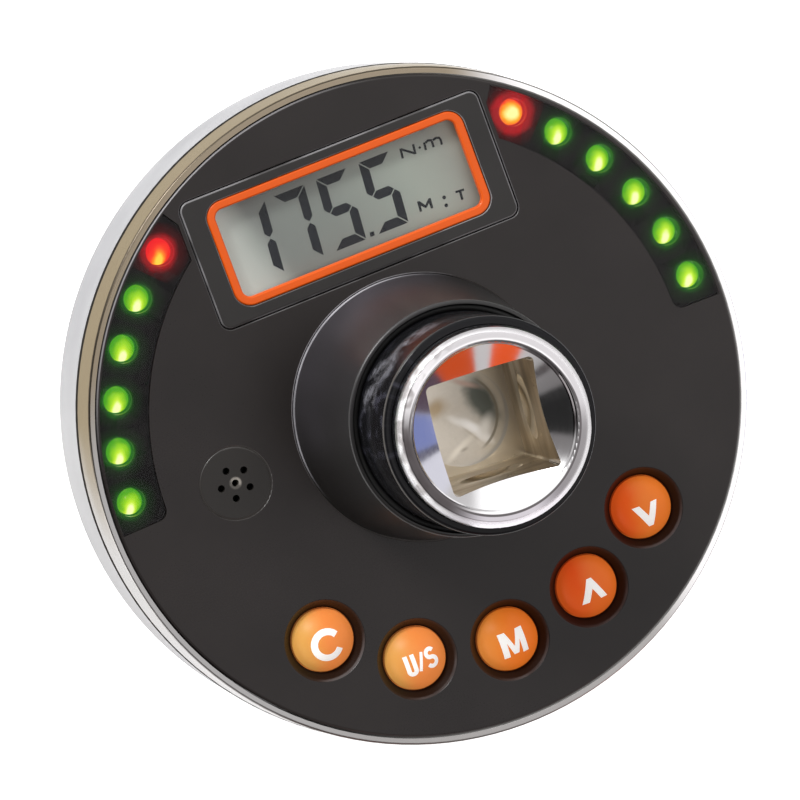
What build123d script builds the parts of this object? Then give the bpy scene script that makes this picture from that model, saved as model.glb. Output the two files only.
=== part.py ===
from build123d import *

import os
from math import asin, cos, degrees, radians, sin, sqrt, tan

# Digital torque tester: a disc-shaped measuring head round a square-drive spindle.
# All lengths are millimetres and all angles are degrees.
# +Z is the drive axis, out of the face; +Y is up on the display; +X is to its right.
# The origin is the centre of the male square's end face.

os.makedirs("parts", exist_ok=True)

# Fits and gaps
fit_gap = 0.05
seam_gap = 0.12
screw_gap = 0.03
screw_tip_gap = 0.5
button_gap = 0.12
cap_gap = 0.15

# Male drive square behind the head, with its detent ball
male_square = 12.65
male_corner = 0.9
male_length = 16.0
male_chamfer = 0.7
ball_radius = 2.4
ball_bore_gap = 0.08
ball_mouth_radius = 2.15
ball_mouth_depth = 0.25
ball_from_end = 7.9
ball_bore_depth = 7.8
spring_wire = 0.45
spring_radius = 1.6
spring_turns = 3.5

# Female drive square in the hub
female_square = 12.9
female_corner = 0.35
female_depth = 15.5
female_angle = -5.0
lead_in_depth = 5.0
lead_in_slope = 4.0
lip_inner_radius = 10.1
lip_bevel = 0.3
lip_slope = 33.0
lip_rounding = 0.95
lip_inner_rounding = 0.5
groove_from_lip = 8.3
groove_section = 2.8
groove_radius = 7.6
relief_radius = 5.9
relief_depth = 1.4
drill_point_slope = 31.0

# Drive spindle
hub_radius = 12.0
hub_height = 33.7
hub_floor = 2.4
hub_taper = 2.5
torsion_radius = 7.5
torsion_flat = 6.6
torsion_flat_margin = 1.5
torsion_root = 1.0
flange_radius = 17.0
flange_thickness = 2.0
flange_height = 4.0
journal_radius = 9.5
tail_length = 4.0
tail_radius = 7.9
tail_taper = 1.2

# Case
case_radius = 42.6
bezel_width = 1.4
face_edge = 0.35
opening_rounding = 0.15
case_depth = 18.0
plate_thickness = 2.2
skirt_depth = 4.5
skirt_thickness = 0.9
bezel_gap = 0.15
bezel_top_width = 0.8
bezel_draft = 0.1
bezel_rounding = 0.3
bezel_flange = 0.9
bezel_flange_width = 1.1
gasket_thickness = 0.9
gasket_inset = 0.25
band_wall = 1.5
band_ledge_width = 0.9
band_ledge_thickness = 1.2
band_rounding = 0.9

# Collar and neck sleeve round the hub
collar_base_radius = 16.55
collar_top_radius = 14.3
collar_height = 20.0
collar_rounding = 0.35
collar_flange_width = 0.95
collar_flange_thickness = 1.2
collar_tube_step = 0.35
collar_bore_radius = 12.35
sleeve_radius = 13.0
sleeve_top = 31.6
sleeve_tuck = 1.0
sleeve_rounding = 0.4
bush_wall = 1.0
bush_length = 8.0
seal_section = 0.42
collar_screw_circle = 14.2
collar_screw_angle = 30.0
collar_screw_radius = 1.0
collar_screw_head = 1.9
collar_screw_head_height = 1.2
collar_screw_grip = 5.5

# Circuit board
board_space = 4.1
board_thickness = 1.2
board_margin = 0.25
board_bore_gap = 0.4

# Screws that close the case
case_screw_from_edge = 9.1
case_screw_angle = 60.0
case_screw_radius = 1.1
case_screw_head = 2.0
case_screw_head_height = 1.5
case_screw_seat = 5.0
case_screw_grip = 3.2
case_screw_socket = 1.1
case_screw_socket_floor = 0.6
front_boss_radius = 2.6
rear_boss_radius = 3.3

# Display
surround_width = 40.2
surround_corner = 1.3
surround_thickness = 1.6
surround_rounding = 0.3
display_from_rim = 6.65
display_from_collar = 1.28
frame_side_margin = 2.8
frame_end_margin = 1.5
frame_rise = 0.2
frame_corner = 2.2
frame_line = 1.1
frame_rounding = 0.25
frame_recess = 0.1
window_thickness = 0.6
display_ledge = 0.5
lcd_overlap = 0.4
lcd_glass = 1.1
lcd_contact_ledge = 1.2
holder_wall = 0.9
holder_shelf = 0.9
holder_shelf_width = 0.6
strip_length = 30.0
strip_width = 1.0

# Indicator lights under two smoked windows
light_from_rim = 2.9
light_radius = 1.65
light_hole_gap = 0.15
light_from_display = 3.8
light_pitch = 6.35
lights_per_side = 6
indicator_margin = 0.45
indicator_width = 6.15
indicator_upper_margin = 3.9
indicator_lower_margin = 3.4
indicator_corner = 1.3
indicator_gap = 0.07
display_margin = 0.7
indicator_recess = 0.15
indicator_thickness = 1.0
light_to_window = 0.1

# Buttons
button_names = ("clear", "units", "mode", "up", "down")
button_from_rim = 9.8
button_pitch = 12.1
button_radius = 3.95
button_sag = 1.2
button_crown = 0.9
button_rim_rounding = 0.3
button_travel = 0.5
button_flange_radius = 4.8
button_flange_thickness = 0.8
button_flange_gap = 0.1
button_wall = 0.8
button_roof = 0.3
button_stem_radius = 1.2
button_key_width = 1.2
button_key_reach = 0.6
dish_radius = 5.15
dish_depth = 1.4
guide_gap = 0.2
guide_wall = 0.9
guide_depth = 1.8
switch_size = 6.0
switch_height = 2.0
plunger_radius = 0.95
plunger_gap = 0.1
plunger_length = 1.4
plunger_rise = 0.7

# Buzzer and its grille
buzzer_inset = 0.185
buzzer_y = 0.1
grille_radius = 4.5
grille_thickness = 1.5
grille_recess = 0.05
grille_ledge = 0.6
grille_rounding = 0.2
grille_hole_radius = 0.45
grille_hole_offset = 1.9
grille_hole_count = 5
buzzer_radius = 4.6
buzzer_height = 3.2
buzzer_port_radius = 0.8

# Battery wells, caps and cells
cell_from_edge = 14.2
cell_radius = 10.0
cell_thickness = 3.2
cell_step = 0.4
cell_step_width = 1.0
well_wall_radius = 12.6
well_clearance = 0.5
well_depth = 9.8
well_roof = 1.2
cap_radius = 11.7
cap_thickness = 1.3
cap_seat_gap = 0.1
plug_radius = 10.45
plug_height = 3.9
lug_reach = 0.95
lug_height = 0.8
lug_angle = 26.0
lug_count = 3
lug_gap = 0.1
lug_turn_angle = 50.0
lug_play_angle = 3.0
cap_seal_section = 0.4
coin_slot_length = 15.0
coin_slot_width = 2.0
coin_slot_depth = 0.7
contact_thickness = 0.25
contact_gap = 0.2
contact_tip_radius = 1.5
contact_rim_radius = 5.0
post_radius = 0.5
clip_angle = 34.0
clip_lift = 0.5
clip_tail_width = 2.0

# Rear cover
rear_floor = 1.6
rear_edge = 0.4
rear_hub_radius = 13.2
rear_hub_height = 1.2
rear_hub_rounding = 0.5
rear_tube_radius = 11.8
rib_thickness = 1.2
rib_gap = 0.2
rear_seal_section = 0.45
rear_seal_height = 0.8

# Strain gauges and electronics
gauge_length = 6.0
gauge_width = 5.0
gauge_thickness = 0.15
gauge_lift = 1.6
flex_thickness = 0.15
flex_width = 4.0
flex_band_height = 2.4
flex_slot_height = 1.5
flex_slot_margin = 0.5
connector_length = 7.0
connector_depth = 3.2
connector_height = 1.6
connector_y = -20.4
processor_size = 7.0
amplifier_length = 5.0
amplifier_width = 4.0
sensor_size = 3.0
chip_height = 1.0
chip_chamfer = 0.15
crystal_length = 6.0
crystal_width = 2.3
chip_from_cell = 2.4

# Levels along the drive axis
z_rear = male_length + tail_length
z_face = z_rear + case_depth
z_lip = z_face + hub_height
z_plate = z_face - plate_thickness
z_skirt = z_face - skirt_depth
z_bezel = z_skirt - bezel_flange
z_band = z_bezel - gasket_thickness
z_board = z_plate - board_space
z_board_under = z_board - board_thickness
z_flange = z_rear + flange_height
z_collar_foot = z_flange + flange_thickness
z_collar_top = z_face + collar_height
z_sleeve_top = z_face + sleeve_top
z_socket_floor = z_lip - female_depth
z_relief = z_socket_floor - relief_depth
z_hub = z_relief - relief_radius * tan(radians(drill_point_slope)) - hub_floor
z_torsion_top = z_hub - hub_taper
z_groove = z_collar_top - 3 * seal_section
z_sleeve = z_groove - sleeve_tuck
z_bush = z_sleeve - bush_length
z_window_top = z_face - indicator_recess
z_light_top = z_window_top - indicator_thickness - light_to_window
z_switch = z_board + switch_height
z_well = z_rear + well_depth
z_cap_inside = z_rear + plug_height
z_lug_groove = z_cap_inside - lug_height - lug_gap
z_cell = z_cap_inside + lug_gap
z_cell_top = z_cell + cell_thickness

# Radii and sizes that follow from their neighbours
face_radius = case_radius - bezel_width
bezel_inner_radius = face_radius + bezel_gap
skirt_inner_radius = face_radius - skirt_thickness
collar_hole_radius = collar_base_radius + seam_gap
collar_flange_radius = collar_base_radius + collar_flange_width
collar_tube_radius = collar_base_radius - collar_tube_step
board_bore_radius = collar_tube_radius + board_bore_gap
surround_height = face_radius - display_from_rim - collar_hole_radius - display_from_collar
surround_y = face_radius - display_from_rim - surround_height / 2
frame_width = surround_width - 2 * frame_side_margin
frame_height = surround_height - 2 * frame_end_margin
frame_y = surround_y + frame_rise
lcd_width = frame_width + 2 * lcd_overlap
lcd_height = frame_height + 2 * lcd_overlap
light_circle = face_radius - light_from_rim
light_step = degrees(light_pitch / light_circle)
first_light_angle = degrees(asin((surround_width / 2 + light_from_display) / light_circle))
last_light_angle = first_light_angle + (lights_per_side - 1) * light_step
indicator_outer_radius = face_radius - indicator_margin
indicator_inner_radius = indicator_outer_radius - indicator_width
indicator_start = first_light_angle - degrees(indicator_upper_margin / light_circle)
indicator_end = last_light_angle + degrees(indicator_lower_margin / light_circle)
button_circle = face_radius - button_from_rim
button_step = 2 * degrees(asin(button_pitch / 2 / button_circle))
buzzer_x = buzzer_inset - (collar_hole_radius + indicator_inner_radius) / 2
board_radius = skirt_inner_radius - board_margin
case_screw_circle = case_radius - case_screw_from_edge
cell_x = case_radius - cell_from_edge
chip_x = cell_x - chip_from_cell
collar_seat_radius = hub_radius + fit_gap + bush_wall + fit_gap
band_inner_radius = case_radius - band_wall
rear_cover_radius = band_inner_radius - fit_gap
flat_x = cell_x - well_wall_radius - well_clearance
guide_inner_radius = button_flange_radius + guide_gap
guide_outer_radius = guide_inner_radius + guide_wall
z_button_flange = z_plate - button_flange_gap
z_stem = z_switch + plunger_rise
ball_depth = ball_mouth_depth + sqrt(ball_radius**2 - ball_mouth_radius**2) + fit_gap
cap_hole_radius = plug_radius + cap_gap
cap_seal_radius = cap_hole_radius - screw_gap - cap_seal_section
z_cap_seal = z_rear + cap_thickness + cap_seat_gap + cap_seal_section + cap_gap
well_gap = fit_gap + contact_thickness
clip_x = cell_radius + fit_gap + contact_thickness / 2
lug_groove_radius = plug_radius + lug_reach + cap_gap
countersink_radius = lip_inner_radius - lip_bevel
mouth_radius = female_square / 2 - 2 * female_corner
z_lead_in = z_lip - lead_in_depth
z_mouth = z_lip - lip_bevel - (countersink_radius - mouth_radius) * tan(radians(lip_slope))


def on_face(radius, angle):
    """Point on a circle of the face, with its angle counted clockwise from the display's top."""
    return (radius * sin(radians(angle)), radius * cos(radians(angle)))


def ring(inner, outer):
    """Flat ring round the origin."""
    with BuildSketch() as flat_ring:
        Circle(outer)
        Circle(inner, mode=Mode.SUBTRACT)
    return flat_ring.sketch


def ring_sector(inner, outer, start, end, corner=0.0):
    """Part of a ring between two angles from +X, its two inner corners rounded."""
    with BuildSketch() as sector:
        with BuildLine():
            inner_arc = CenterArc((0, 0), inner, start, end - start)
            outer_arc = CenterArc((0, 0), outer, start, end - start)
            Line(inner_arc @ 0, outer_arc @ 0)
            Line(inner_arc @ 1, outer_arc @ 1)
        make_face()
        if corner > 0:
            inner_corners = sector.vertices().sort_by_distance((0, 0))[:2]
            fillet(inner_corners, radius=corner)
    return sector.sketch


def indicator_shape(start, end, gap):
    """Outline of a smoked window, made smaller all round by a gap and cut clear of the display."""
    gap_turn = degrees(gap / light_circle)
    with BuildSketch() as outline:
        add(
            ring_sector(
                indicator_inner_radius + gap,
                indicator_outer_radius - gap,
                start + gap_turn,
                end - gap_turn,
                indicator_corner - gap,
            )
        )
        with Locations((0, surround_y)):
            Rectangle(surround_width + 2 * (display_margin + gap), 2 * face_radius, mode=Mode.SUBTRACT)
    return outline.sketch


button_angles = [180 - button_step * (place - 2) for place in range(5)]
button_points = [on_face(button_circle, angle) for angle in button_angles]
screw_signs = [(1, 1), (-1, 1), (-1, -1), (1, -1)]
case_screw_at = on_face(case_screw_circle, case_screw_angle)
case_screw_points = [(x * case_screw_at[0], y * case_screw_at[1]) for x, y in screw_signs]
collar_screw_at = on_face(collar_screw_circle, collar_screw_angle)
collar_screw_points = [(x * collar_screw_at[0], y * collar_screw_at[1]) for x, y in screw_signs]
light_angles = [first_light_angle + light_step * place for place in range(lights_per_side)]
indicator_sides = {
    "left": (90 + indicator_start, 90 + indicator_end),
    "right": (90 - indicator_end, 90 - indicator_start),
}


# Drive spindle, one turned and broached steel piece.
# From the rear: male square, journal, bolting flange, torsion section and socket hub.
with BuildPart() as drive_spindle:
    with BuildSketch(Plane.XZ):
        with BuildLine():
            Polyline(
                (0, male_length),
                (tail_radius, male_length),
                (journal_radius, male_length + tail_taper),
                (journal_radius, z_flange),
                (flange_radius, z_flange),
                (flange_radius, z_collar_foot),
                (torsion_radius, z_collar_foot),
                (torsion_radius, z_torsion_top),
                (hub_radius, z_hub),
                (hub_radius, z_lip),
                (0, z_lip),
                close=True,
            )
        make_face()
    revolve(axis=Axis.Z)
    root_edges = drive_spindle.edges().filter_by(GeomType.CIRCLE).filter_by(
        lambda edge: abs(edge.radius - torsion_radius) < 0.001
    )
    fillet(root_edges.sort_by(Axis.Z)[0], radius=torsion_root)
    fillet(drive_spindle.faces().sort_by(Axis.Z)[-1].edges(), radius=lip_rounding)

    # The flange is cut flat beside the two battery wells
    with BuildSketch(Plane.XY.offset(z_flange)):
        with Locations((flat_x, 0), (-flat_x, 0)):
            Rectangle(2 * (flange_radius - flat_x), 2 * flange_radius)
    extrude(amount=flange_thickness, mode=Mode.SUBTRACT)
    with BuildSketch(Plane.XY.offset(z_flange)):
        with Locations(*collar_screw_points):
            Circle(collar_screw_radius + fit_gap)
    extrude(amount=flange_thickness, mode=Mode.SUBTRACT)

    # Two flats on the torsion section carry the gauges
    with BuildSketch(Plane.XY.offset(z_collar_foot + torsion_root + torsion_flat_margin)):
        with Locations((0, torsion_radius), (0, -torsion_radius)):
            Rectangle(2 * torsion_radius, 2 * (torsion_radius - torsion_flat))
    extrude(
        amount=z_torsion_top - z_collar_foot - torsion_root - 2 * torsion_flat_margin,
        mode=Mode.SUBTRACT,
    )

    # Polished countersink under the lip, leading into the square
    with BuildSketch(Plane.XZ):
        with BuildLine():
            Polyline(
                (0, z_lip),
                (lip_inner_radius, z_lip),
                (countersink_radius, z_lip - lip_bevel),
                (mouth_radius, z_mouth),
                (0, z_mouth),
                close=True,
            )
        make_face()
    revolve(axis=Axis.Z, mode=Mode.SUBTRACT)
    lip_edges = drive_spindle.faces().sort_by(Axis.Z)[-1].edges().sort_by(SortBy.RADIUS)
    fillet(lip_edges[0], radius=lip_inner_rounding)
    with BuildSketch(Plane.XY.offset(z_socket_floor)):
        RectangleRounded(female_square, female_square, female_corner, rotation=female_angle)
    extrude(amount=female_depth, mode=Mode.SUBTRACT)
    # The square opens out a little towards its mouth
    with BuildSketch(Plane.XY.offset(z_lead_in)):
        RectangleRounded(female_square, female_square, female_corner, rotation=female_angle)
    extrude(amount=lead_in_depth, taper=-lead_in_slope, mode=Mode.SUBTRACT)

    # Ring groove that a male square's ball snaps into
    with BuildSketch(Plane.XZ):
        with Locations((groove_radius - groove_section, z_lip - groove_from_lip)):
            Circle(groove_section)
    revolve(axis=Axis.Z, mode=Mode.SUBTRACT)

    # Drilled relief below the square
    with BuildSketch(Plane.XZ):
        with BuildLine():
            Polyline(
                (0, z_socket_floor),
                (relief_radius, z_socket_floor),
                (relief_radius, z_relief),
                (0, z_relief - relief_radius * tan(radians(drill_point_slope))),
                close=True,
            )
        make_face()
    revolve(axis=Axis.Z, mode=Mode.SUBTRACT)

    # Male square with rounded corners and a chamfered end
    with BuildSketch():
        RectangleRounded(male_square, male_square, male_corner)
    extrude(amount=male_length)
    chamfer(drive_spindle.faces().sort_by(Axis.Z)[0].edges(), length=male_chamfer)

    # Blind bore for the detent ball, its mouth staked in to hold the ball
    with BuildSketch(Plane.XZ.offset(male_square / 2 - ball_mouth_depth)):
        with Locations((0, ball_from_end)):
            Circle(ball_radius + ball_bore_gap)
    extrude(amount=-ball_bore_depth, mode=Mode.SUBTRACT)
    with BuildSketch(Plane.XZ.offset(male_square / 2)):
        with Locations((0, ball_from_end)):
            Circle(ball_mouth_radius)
    extrude(amount=-ball_mouth_depth, mode=Mode.SUBTRACT)

    # Groove in the journal for the rear seal
    with BuildSketch(Plane.XY.offset(z_rear + rear_seal_height - rear_seal_section)):
        add(ring(journal_radius - 2 * rear_seal_section + fit_gap, rear_hub_radius))
    extrude(amount=2 * rear_seal_section, mode=Mode.SUBTRACT)
drive_spindle.part.label = "drive_spindle"
export_step(drive_spindle.part, "parts/drive_spindle.step")

with BuildPart() as detent_ball:
    with Locations((0, ball_depth - male_square / 2, ball_from_end)):
        Sphere(ball_radius)
detent_ball.part.label = "detent_ball"
export_step(detent_ball.part, "parts/detent_ball.step")

# Compression spring between the ball and the bottom of its bore, wound round the bore's axis
spring_start = (
    ball_depth - male_square / 2 + sqrt(ball_radius**2 - spring_radius**2) + spring_wire
)
spring_end = ball_mouth_depth + ball_bore_depth - male_square / 2 - spring_wire / 2 - fit_gap
with BuildPart() as detent_spring:
    with BuildLine() as spring_line:
        Helix(
            pitch=(spring_end - spring_start) / spring_turns,
            height=spring_end - spring_start,
            radius=spring_radius,
            center=(0, spring_start, ball_from_end),
            direction=(0, 1, 0),
        )
    with BuildSketch(Plane(origin=spring_line.line @ 0, z_dir=spring_line.line % 0)):
        Rectangle(spring_wire, spring_wire)
    sweep(path=spring_line.line, is_frenet=True)
detent_spring.part.label = "detent_spring"
export_step(detent_spring.part, "parts/detent_spring.step")

# Collar: a moulded tube that carries the front bush; its tapered upper part shows on the face
with BuildPart() as hub_collar:
    with BuildSketch(Plane.XZ):
        with BuildLine():
            Polyline(
                (collar_bore_radius, z_collar_foot),
                (collar_tube_radius, z_collar_foot),
                (collar_tube_radius, z_plate - collar_flange_thickness),
                (collar_flange_radius, z_plate - collar_flange_thickness),
                (collar_flange_radius, z_plate),
                (collar_base_radius, z_plate),
                (collar_base_radius, z_face),
                (collar_top_radius, z_collar_top),
                (sleeve_radius + 2 * seal_section, z_collar_top),
                (sleeve_radius + 2 * seal_section, z_groove),
                (collar_seat_radius, z_groove),
                (collar_seat_radius, z_bush),
                (collar_bore_radius, z_bush),
                close=True,
            )
        make_face()
    revolve(axis=Axis.Z)
    top_edges = hub_collar.faces().sort_by(Axis.Z)[-1].edges().sort_by(SortBy.RADIUS)
    fillet(top_edges[-1], radius=collar_rounding)
    with BuildSketch(Plane.XY.offset(z_collar_foot)):
        with Locations((flat_x + collar_tube_radius, 0), (-flat_x - collar_tube_radius, 0)):
            Rectangle(2 * collar_tube_radius, 2 * collar_tube_radius)
    extrude(amount=z_well + well_clearance - z_collar_foot, mode=Mode.SUBTRACT)
    with BuildSketch(Plane.XY.offset(z_collar_foot)):
        with Locations(*collar_screw_points):
            Circle(collar_screw_radius + screw_gap)
    extrude(amount=collar_screw_grip + screw_tip_gap, mode=Mode.SUBTRACT)
    # Way out for the gauge lead, level with the circuit board
    with BuildSketch(Plane.XZ.offset(torsion_radius)):
        with Locations((0, z_board)):
            Rectangle(flex_width + 2 * flex_slot_margin, flex_slot_height)
    extrude(amount=collar_tube_radius, mode=Mode.SUBTRACT)
hub_collar.part.label = "hub_collar"
export_step(hub_collar.part, "parts/hub_collar.step")

with BuildPart() as hub_bush:
    with BuildSketch(Plane.XY.offset(z_bush)):
        add(ring(hub_radius + fit_gap, hub_radius + fit_gap + bush_wall))
    extrude(amount=bush_length)
hub_bush.part.label = "hub_bush"
export_step(hub_bush.part, "parts/hub_bush.step")

with BuildPart() as hub_sleeve:
    with BuildSketch(Plane.XY.offset(z_sleeve)):
        add(ring(hub_radius + fit_gap, sleeve_radius))
    extrude(amount=z_sleeve_top - z_sleeve)
    sleeve_edges = hub_sleeve.faces().sort_by(Axis.Z)[-1].edges().sort_by(SortBy.RADIUS)
    fillet(sleeve_edges[-1], radius=sleeve_rounding)
hub_sleeve.part.label = "hub_sleeve"
export_step(hub_sleeve.part, "parts/hub_sleeve.step")

# Sealing ring that shows between the neck sleeve and the collar
with BuildPart() as collar_seal:
    with BuildSketch(Plane.XZ):
        with Locations((sleeve_radius + seal_section, z_groove + seal_section)):
            Circle(seal_section - screw_gap)
    revolve(axis=Axis.Z)
collar_seal.part.label = "collar_seal"
export_step(collar_seal.part, "parts/collar_seal.step")

with BuildPart() as collar_screws:
    with BuildSketch(Plane.XY.offset(z_flange - collar_screw_head_height)):
        with Locations(*collar_screw_points):
            Circle(collar_screw_head)
    extrude(amount=collar_screw_head_height)
    with BuildSketch(Plane.XY.offset(z_flange)):
        with Locations(*collar_screw_points):
            Circle(collar_screw_radius)
    extrude(amount=flange_thickness + collar_screw_grip)
collar_screws.part.label = "collar_screws"
export_step(collar_screws.part, "parts/collar_screws.step")

# Front cover: the black moulded face with its recesses, bosses and button guides
with BuildPart() as front_cover:
    with BuildSketch(Plane.XZ):
        with BuildLine():
            Polyline(
                (collar_hole_radius, z_plate),
                (skirt_inner_radius, z_plate),
                (skirt_inner_radius, z_skirt),
                (face_radius, z_skirt),
                (face_radius, z_face),
                (collar_hole_radius, z_face),
                close=True,
            )
        make_face()
    revolve(axis=Axis.Z)
    rim_edges = front_cover.faces().sort_by(Axis.Z)[-1].edges().sort_by(SortBy.RADIUS)
    fillet(rim_edges[-1], radius=face_edge)
    fillet(front_cover.faces().sort_by(Axis.Z)[-1].edges().sort_by(SortBy.RADIUS)[0], radius=opening_rounding)

    # Bosses that the case screws bite into, down to the circuit board
    with BuildSketch(Plane.XY.offset(z_board)):
        with Locations(*case_screw_points):
            Circle(front_boss_radius)
    extrude(amount=board_space)
    with BuildSketch(Plane.XY.offset(z_board)):
        with Locations(*case_screw_points):
            Circle(case_screw_radius + screw_gap)
    extrude(amount=case_screw_grip + screw_tip_gap, mode=Mode.SUBTRACT)

    # Guide rings that stop the buttons turning, each with a keyway towards the hub
    with BuildSketch(Plane.XY.offset(z_plate - guide_depth)):
        with Locations(*button_points):
            Circle(guide_outer_radius)
            Circle(guide_inner_radius, mode=Mode.SUBTRACT)
        for angle, point in zip(button_angles, button_points):
            with Locations(Location((point[0], point[1], 0), (0, 0, -angle))):
                Rectangle(
                    button_key_width + 2 * guide_gap,
                    guide_outer_radius + guide_gap,
                    align=(Align.CENTER, Align.MAX),
                    mode=Mode.SUBTRACT,
                )
    extrude(amount=guide_depth)

    # Dished button recesses, each with a hole for its cap
    with Locations(*[(x, y, z_face) for x, y in button_points]):
        Cone(
            button_radius + button_gap,
            dish_radius,
            dish_depth,
            align=(Align.CENTER, Align.CENTER, Align.MAX),
            mode=Mode.SUBTRACT,
        )
    fillet(front_cover.edges(Select.LAST).group_by(Axis.Z)[-1], radius=opening_rounding)
    with BuildSketch(Plane.XY.offset(z_plate)):
        with Locations(*button_points):
            Circle(button_radius + button_gap)
    extrude(amount=plate_thickness - dish_depth, mode=Mode.SUBTRACT)

    # Recess for the display surround, with an opening that leaves a ledge under frame and window
    with BuildSketch(Plane.XY.offset(z_face)):
        with Locations((0, surround_y)):
            RectangleRounded(
                surround_width + 2 * seam_gap,
                surround_height + 2 * seam_gap,
                surround_corner + seam_gap,
            )
    extrude(amount=-surround_thickness, mode=Mode.SUBTRACT)
    fillet(front_cover.edges(Select.LAST).group_by(Axis.Z)[-1], radius=opening_rounding)
    with BuildSketch(Plane.XY.offset(z_face)):
        with Locations((0, frame_y)):
            RectangleRounded(
                frame_width - 2 * display_ledge,
                frame_height - 2 * display_ledge,
                frame_corner - display_ledge,
            )
    extrude(amount=-plate_thickness, mode=Mode.SUBTRACT)

    # Recesses for the smoked windows, with a hole over each light
    for start, end in indicator_sides.values():
        with BuildSketch(Plane.XY.offset(z_face)):
            add(indicator_shape(start, end, 0))
        extrude(amount=-indicator_recess - indicator_thickness, mode=Mode.SUBTRACT)
    with BuildSketch(Plane.XY.offset(z_plate)):
        for side in (-1, 1):
            with Locations(*[on_face(light_circle, side * angle) for angle in light_angles]):
                Circle(light_radius + light_hole_gap)
    extrude(amount=plate_thickness, mode=Mode.SUBTRACT)

    # Stepped hole for the buzzer grille
    with BuildSketch(Plane.XY.offset(z_face)):
        with Locations((buzzer_x, buzzer_y)):
            Circle(grille_radius + fit_gap)
    extrude(amount=-grille_recess - grille_thickness, mode=Mode.SUBTRACT)
    fillet(front_cover.edges(Select.LAST).group_by(Axis.Z)[-1], radius=opening_rounding)
    with BuildSketch(Plane.XY.offset(z_face)):
        with Locations((buzzer_x, buzzer_y)):
            Circle(grille_radius - grille_ledge)
    extrude(amount=-plate_thickness, mode=Mode.SUBTRACT)
front_cover.part.label = "front_cover"
export_step(front_cover.part, "parts/front_cover.step")

# Polished bezel ring round the face, with a flange inside that the cover's skirt stands on
with BuildPart() as bezel_ring:
    with BuildSketch(Plane.XZ):
        with BuildLine():
            Polyline(
                (bezel_inner_radius, z_face),
                (bezel_inner_radius + bezel_top_width, z_face),
                (case_radius - bezel_draft, z_bezel),
                (bezel_inner_radius - bezel_flange_width, z_bezel),
                (bezel_inner_radius - bezel_flange_width, z_skirt),
                (bezel_inner_radius, z_skirt),
                close=True,
            )
        make_face()
    revolve(axis=Axis.Z)
    bezel_edges = bezel_ring.faces().sort_by(Axis.Z)[-1].edges().sort_by(SortBy.RADIUS)
    fillet(bezel_edges[-1], radius=bezel_rounding)
bezel_ring.part.label = "bezel_ring"
export_step(bezel_ring.part, "parts/bezel_ring.step")

with BuildPart() as case_gasket:
    with BuildSketch(Plane.XY.offset(z_band)):
        add(ring(band_inner_radius, case_radius - gasket_inset))
    extrude(amount=gasket_thickness)
case_gasket.part.label = "case_gasket"
export_step(case_gasket.part, "parts/case_gasket.step")

# Case band: the pale outer ring, with a ledge that the rear cover pulls against
with BuildPart() as case_band:
    with BuildSketch(Plane.XZ):
        with BuildLine():
            Polyline(
                (band_inner_radius, z_rear),
                (case_radius, z_rear),
                (case_radius, z_band),
                (band_inner_radius, z_band),
                (band_inner_radius, z_rear + rear_floor + band_ledge_thickness),
                (band_inner_radius - band_ledge_width, z_rear + rear_floor + band_ledge_thickness),
                (band_inner_radius - band_ledge_width, z_rear + rear_floor),
                (band_inner_radius, z_rear + rear_floor),
                close=True,
            )
        make_face()
    revolve(axis=Axis.Z)
    band_edges = case_band.faces().sort_by(Axis.Z)[0].edges().sort_by(SortBy.RADIUS)
    fillet(band_edges[-1], radius=band_rounding)
case_band.part.label = "case_band"
export_step(case_band.part, "parts/case_band.step")

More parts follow.
